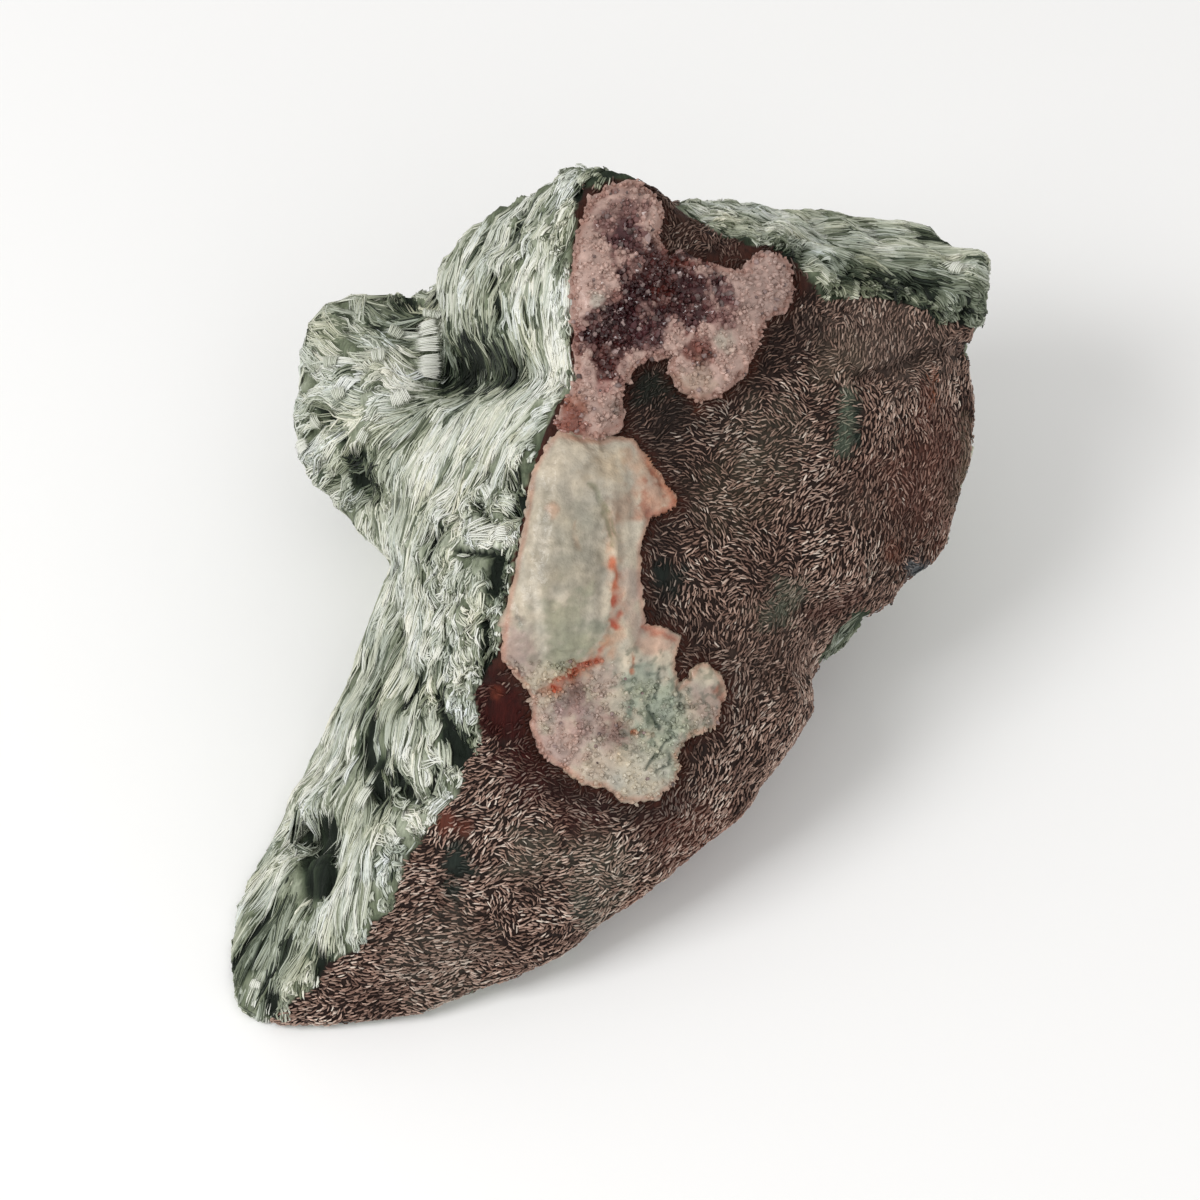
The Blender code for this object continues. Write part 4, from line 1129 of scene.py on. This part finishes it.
DRUSE_GROWTHS = [((11, 44.8), 1.5, 1.6), ((-1.5, 21.6), 3.4, 0.7)]
druse = crusted("druse", "rose_druse", seed=71, spread=0.45, growths=DRUSE_GROWTHS)
points, normals = skin_of(druse)
a, b, _ = seen(points).T
colours = painted(np.tile(linear(PINK), (len(points), 1)), points, DRUSE_SPOTS, 74)
darkness = np.clip(1 - colours.sum(axis=1) / linear(PINK).sum(), 0, 1)
edge = ease(1 - distance_to(DRUSE_OUTLINE, a, b, closed=True) / 0.8)
colours = covered(colours, edge * 0.45, DRUSE_EDGE)
colours *= 0.92 + 0.16 * swell(points, 1.2, 76)[:, None] + 0.12 * swell(points, 3.2, 79)[:, None]
colours *= 1 - darkness[:, None] * (0.24, 0.52, 0.5)
outward = ease(normals @ TO_EYE * 2)
lumps = 0.42 * swell(points, 2.1, 77) + 0.22 * swell(points, 0.9, 78) - 0.6 * darkness
reshape(druse, points + normals * (outward * lumps * MM)[:, None])
tint(druse, colours)
shade_smoothly(druse)
druse_finish = finish(
    "druse_crust", mottle=0.25, size=0.5, roughness=0.4, bump=0.1, coat=0.1, gloss=0.35
)
sparkle = finish("druse_crystal", mottle=0.15, size=0.4, roughness=0.16)
belongs(druse, druse_finish, "rose_druse", "rose_druse")
crystals(
    "druse_crystals", druse, outward * (0.06 + darkness) ** 1.5,
    count=1500, small=0.35, large=0.95, colours=colours, whites=0.13,
    material=sparkle, slot="rose_druse",
)
crystals(
    "rim_crystals", druse, outward * (1.15 - darkness),
    count=1700, small=0.3, large=0.75, colours=colours, whites=0.03,
    material=druse_finish, slot="rose_druse", vary=0.15,
)

# The tongue is a waxy crust of cream calcite that runs down the crest. Its middle is a smooth
# grey-green swell, veined and edged with rust, and its lower lobes are pinkish and pale green.
CREAM = (190, 179, 160)
RUSTY = (186, 98, 54)
TONGUE_EDGE = (178, 112, 86)
FRINGE_RUST = (150, 82, 54)
FLECK_GREEN = (74, 88, 72)
TONGUE_SPOTS = [
    ((-6, 4), 4.0, 0.5, (164, 156, 138)), ((-4, 9), 3.8, 0.55, (154, 147, 128)),
    ((-3.5, 3.5), 4.0, 0.75, (151, 143, 125)), ((-3.6, -3), 3.8, 0.8, (149, 147, 126)),
    ((-4.6, -7.5), 2.8, 0.8, (153, 153, 130)), ((-2, 11), 2.6, 0.4, (158, 153, 136)),
    ((3, 12.4), 2.0, 0.75, (160, 134, 114)), ((7.8, 14.2), 2.8, 0.8, (182, 142, 120)),
    ((6.4, 11.4), 1.6, 0.7, (178, 132, 108)), ((5.8, 18), 2.2, 0.7, (184, 150, 126)),
    ((-6, 11.6), 0.8, 0.5, (186, 140, 114)), ((0.4, 17), 2.4, 0.5, (172, 152, 124)),
    ((4, 2), 2.0, 0.6, (182, 158, 145)), ((4.4, -3), 1.8, 0.6, (182, 156, 143)),
    ((-10.6, -6.5), 2.8, 0.75, (166, 141, 134)), ((-4.4, -5), 4.0, 0.45, (138, 138, 116)),
    ((-7.5, -15), 3.0, 0.5, (193, 173, 162)), ((-3.3, -12.7), 2.2, 0.85, (128, 98, 94)),
    ((-5.5, -18.5), 3.8, 0.8, (190, 160, 151)), ((-1, -15.5), 2.6, 0.7, (164, 136, 130)),
    ((1.8, -17.4), 2.0, 0.85, (128, 94, 86)), ((0, -21), 2.6, 0.5, (190, 171, 156)),
    ((0.6, -10.5), 2.2, 0.6, (182, 154, 143)), ((6, -11.5), 3.4, 0.8, (158, 166, 147)),
    ((8.4, -15.5), 3.6, 0.8, (162, 170, 150)), ((8.5, -20.5), 3.0, 0.7, (168, 174, 154)),
    ((5, -23), 3.2, 0.7, (200, 194, 178)), ((13.6, -13.4), 2.4, 0.7, (169, 143, 132)),
    ((7.4, -5.6), 1.9, 0.6, (184, 140, 121)), ((6.6, -15.6), 0.8, 0.7, (84, 92, 70)),
]
# Veins and streaks: (a, b) along them, half width, strength and colour.
VEINS = [
    ([(-7.4, 9), (-7.9, 2), (-7.6, -6)], 1.0, 0.6, (206, 197, 180)),
    ([(-6.9, -11.6), (-4.4, -10.4), (-2, -8.6), (0.8, -6.6)], 1.3, 0.55, (192, 128, 92)),
    ([(-6.5, -11.3), (-4.4, -10.4), (-2, -8.6), (0.4, -7)], 0.6, 0.95, (176, 78, 46)),
    ([(1.4, 11), (1.9, 5.4), (2.3, 1), (2.1, -4), (1.2, -6.4)], 1.1, 0.5, (192, 146, 116)),
    ([(1.9, 5.2), (2.3, 3.2), (2.2, 1.2)], 0.6, 0.85, (190, 96, 56)),
    ([(2.2, 0.6), (2.1, -0.8), (2.3, -3.6)], 0.6, 0.95, (176, 74, 42)),
    # A fold: the olive streak is partly its own colour and partly painted shade in it, and the paler one
    # beside it is partly olive colour and partly a painted highlight on its edge.
    ([(-1, 15), (0.6, 11), (1.8, 7.2)], 0.45, 0.7, (112, 112, 84)),
    ([(-0.2, 14), (1.5, 10.4), (2.6, 8)], 0.3, 0.6, (134, 134, 100)),
    ([(-3.4, 10), (-2.6, 6.5)], 0.4, 0.5, (164, 136, 110)),
    ([(4.2, -7), (4.3, -9.4)], 0.45, 0.8, RUSTY), ([(4.4, -16.9), (6.6, -17.2)], 0.4, 0.9, RUSTY),
    ([(15.2, -11.6), (16.2, -14.4)], 0.7, 0.85, (140, 74, 46)),
    ([(7.6, -9.2), (7.2, -12.4)], 0.25, 0.9, (52, 66, 52)),
    ([(6, -13.8), (8.2, -16.6)], 0.35, 0.85, (52, 66, 52)),
    ([(6, -21.4), (7.8, -19.4), (9.4, -17.8)], 0.25, 0.8, (62, 76, 62)),
    ([(10.2, -11.4), (10.8, -14)], 0.3, 0.8, (52, 66, 52)),
    ([(7.4, -22.4), (9.2, -20.4)], 0.22, 0.7, (72, 84, 68)),
    ([(5.2, 20.5), (8, 15.6), (10.2, 12.4)], 0.7, 0.7, (182, 110, 71)),
    ([(9.4, 12), (6.6, 11)], 0.6, 0.7, (173, 99, 74)),
    ([(5.6, -3.6), (9.6, -5)], 0.5, 0.7, (177, 97, 69)),
    ([(-10.6, -10), (-11.6, -7.4)], 0.3, 0.6, (96, 76, 72)),
    ([(-10.8, -3.4), (-9.6, -2.2), (-9.2, -1)], 0.45, 0.5, (104, 110, 94)),
    ([(-10.9, -2), (-10.2, -4)], 0.3, 0.5, (88, 94, 80)),
]
TONGUE_GROWTHS = [((-1.5, 21), 3.4, 0.7), ((6.5, 16.5), 3, 0.3)]
tongue = crusted("tongue", "calcite_tongue", seed=81, spread=0.4, growths=TONGUE_GROWTHS)
points, normals = skin_of(tongue)
a, b, _ = seen(points).T
colours = painted(np.tile(linear(CREAM), (len(points), 1)), points, TONGUE_SPOTS, 84)
waver_a, waver_b = a + 0.8 * swell(points, 2.2, 86), b + 0.8 * swell(points, 2.2, 87)
groove = np.zeros(len(points))
broken = np.clip(0.9 + 1.1 * swell(points, 1.4, 93), 0.2, 1)
fuzz = 0.5 * swell(points, 1.6, 95) + 0.45 * swell(points, 0.7, 94)
for line, half, strength, levels in VEINS:
    cover = strength * broken * ease(1.3 + fuzz - distance_to(line, waver_a, waver_b) / half)
    colours = covered(colours, cover, levels)
    groove = np.maximum(groove, cover)
edge = ease(1 - distance_to(TONGUE_OUTLINE, a, b, closed=True) / 0.7)
colours = covered(colours, edge * 0.5, TONGUE_EDGE)
lower_lobes = ease((-6 - b - 0.4 * a) / 4)
down = np.tile(UP_VIEW, (len(points), 1))
long_streaks = streaks(points, down, 1.6, 3, 88)
blotch, speck = swell(points, 2.6, 97), swell(points, 0.9, 89)
fringe = ease((a - (b - 12) ** 2 / 40 - 4.6 + speck) * 1.2) * ease((b - 8.6 + 2 * blotch) / 2.4)
rusted = fringe * ease((swell(points, 1.1, 98) - 0.02) * 4) * 0.6
colours = covered(colours, rusted, FRINGE_RUST)
flecked = ease((a - 1.5) / 2) * ease((-5 - b) / 2) * ease((b + 22) / 3)
flecked *= ease((swell(points, 0.8, 99) - 0.12) * 5)
colours = covered(colours, 0.5 * flecked, FLECK_GREEN)
smooth_part = 1 - lower_lobes
colours *= 0.91 + (0.24 * long_streaks * smooth_part + 0.16 * blotch + 0.14 * speck)[:, None]
colours *= 1 + blotch[:, None] * (0.05, 0, -0.06)
outward = ease(normals @ TO_EYE * 2)
lumps = (0.3 * long_streaks + 0.2 * swell(points, 3, 90) + 0.1 * speck) * smooth_part
lumps += lower_lobes * (0.45 * swell(points, 1.8, 91) + 0.24 * swell(points, 0.8, 92)) - 0.35 * groove
reshape(tongue, points + normals * (outward * lumps * MM)[:, None])
tint(tongue, colours)
shade_smoothly(tongue)
waxy = finish(
    "waxy_calcite", mottle=0.25, size=0.6, roughness=0.42, bump=0.12, bump_size=0.35, coat=0.15
)
belongs(tongue, waxy, "cream_calcite", "calcite_tongue")
crystals(
    "tongue_grains", tongue, outward * lower_lobes * (b < -8),
    count=1000, small=0.3, large=0.65, colours=colours, whites=0.02,
    material=waxy, slot="cream_calcite", vary=0.14,
)
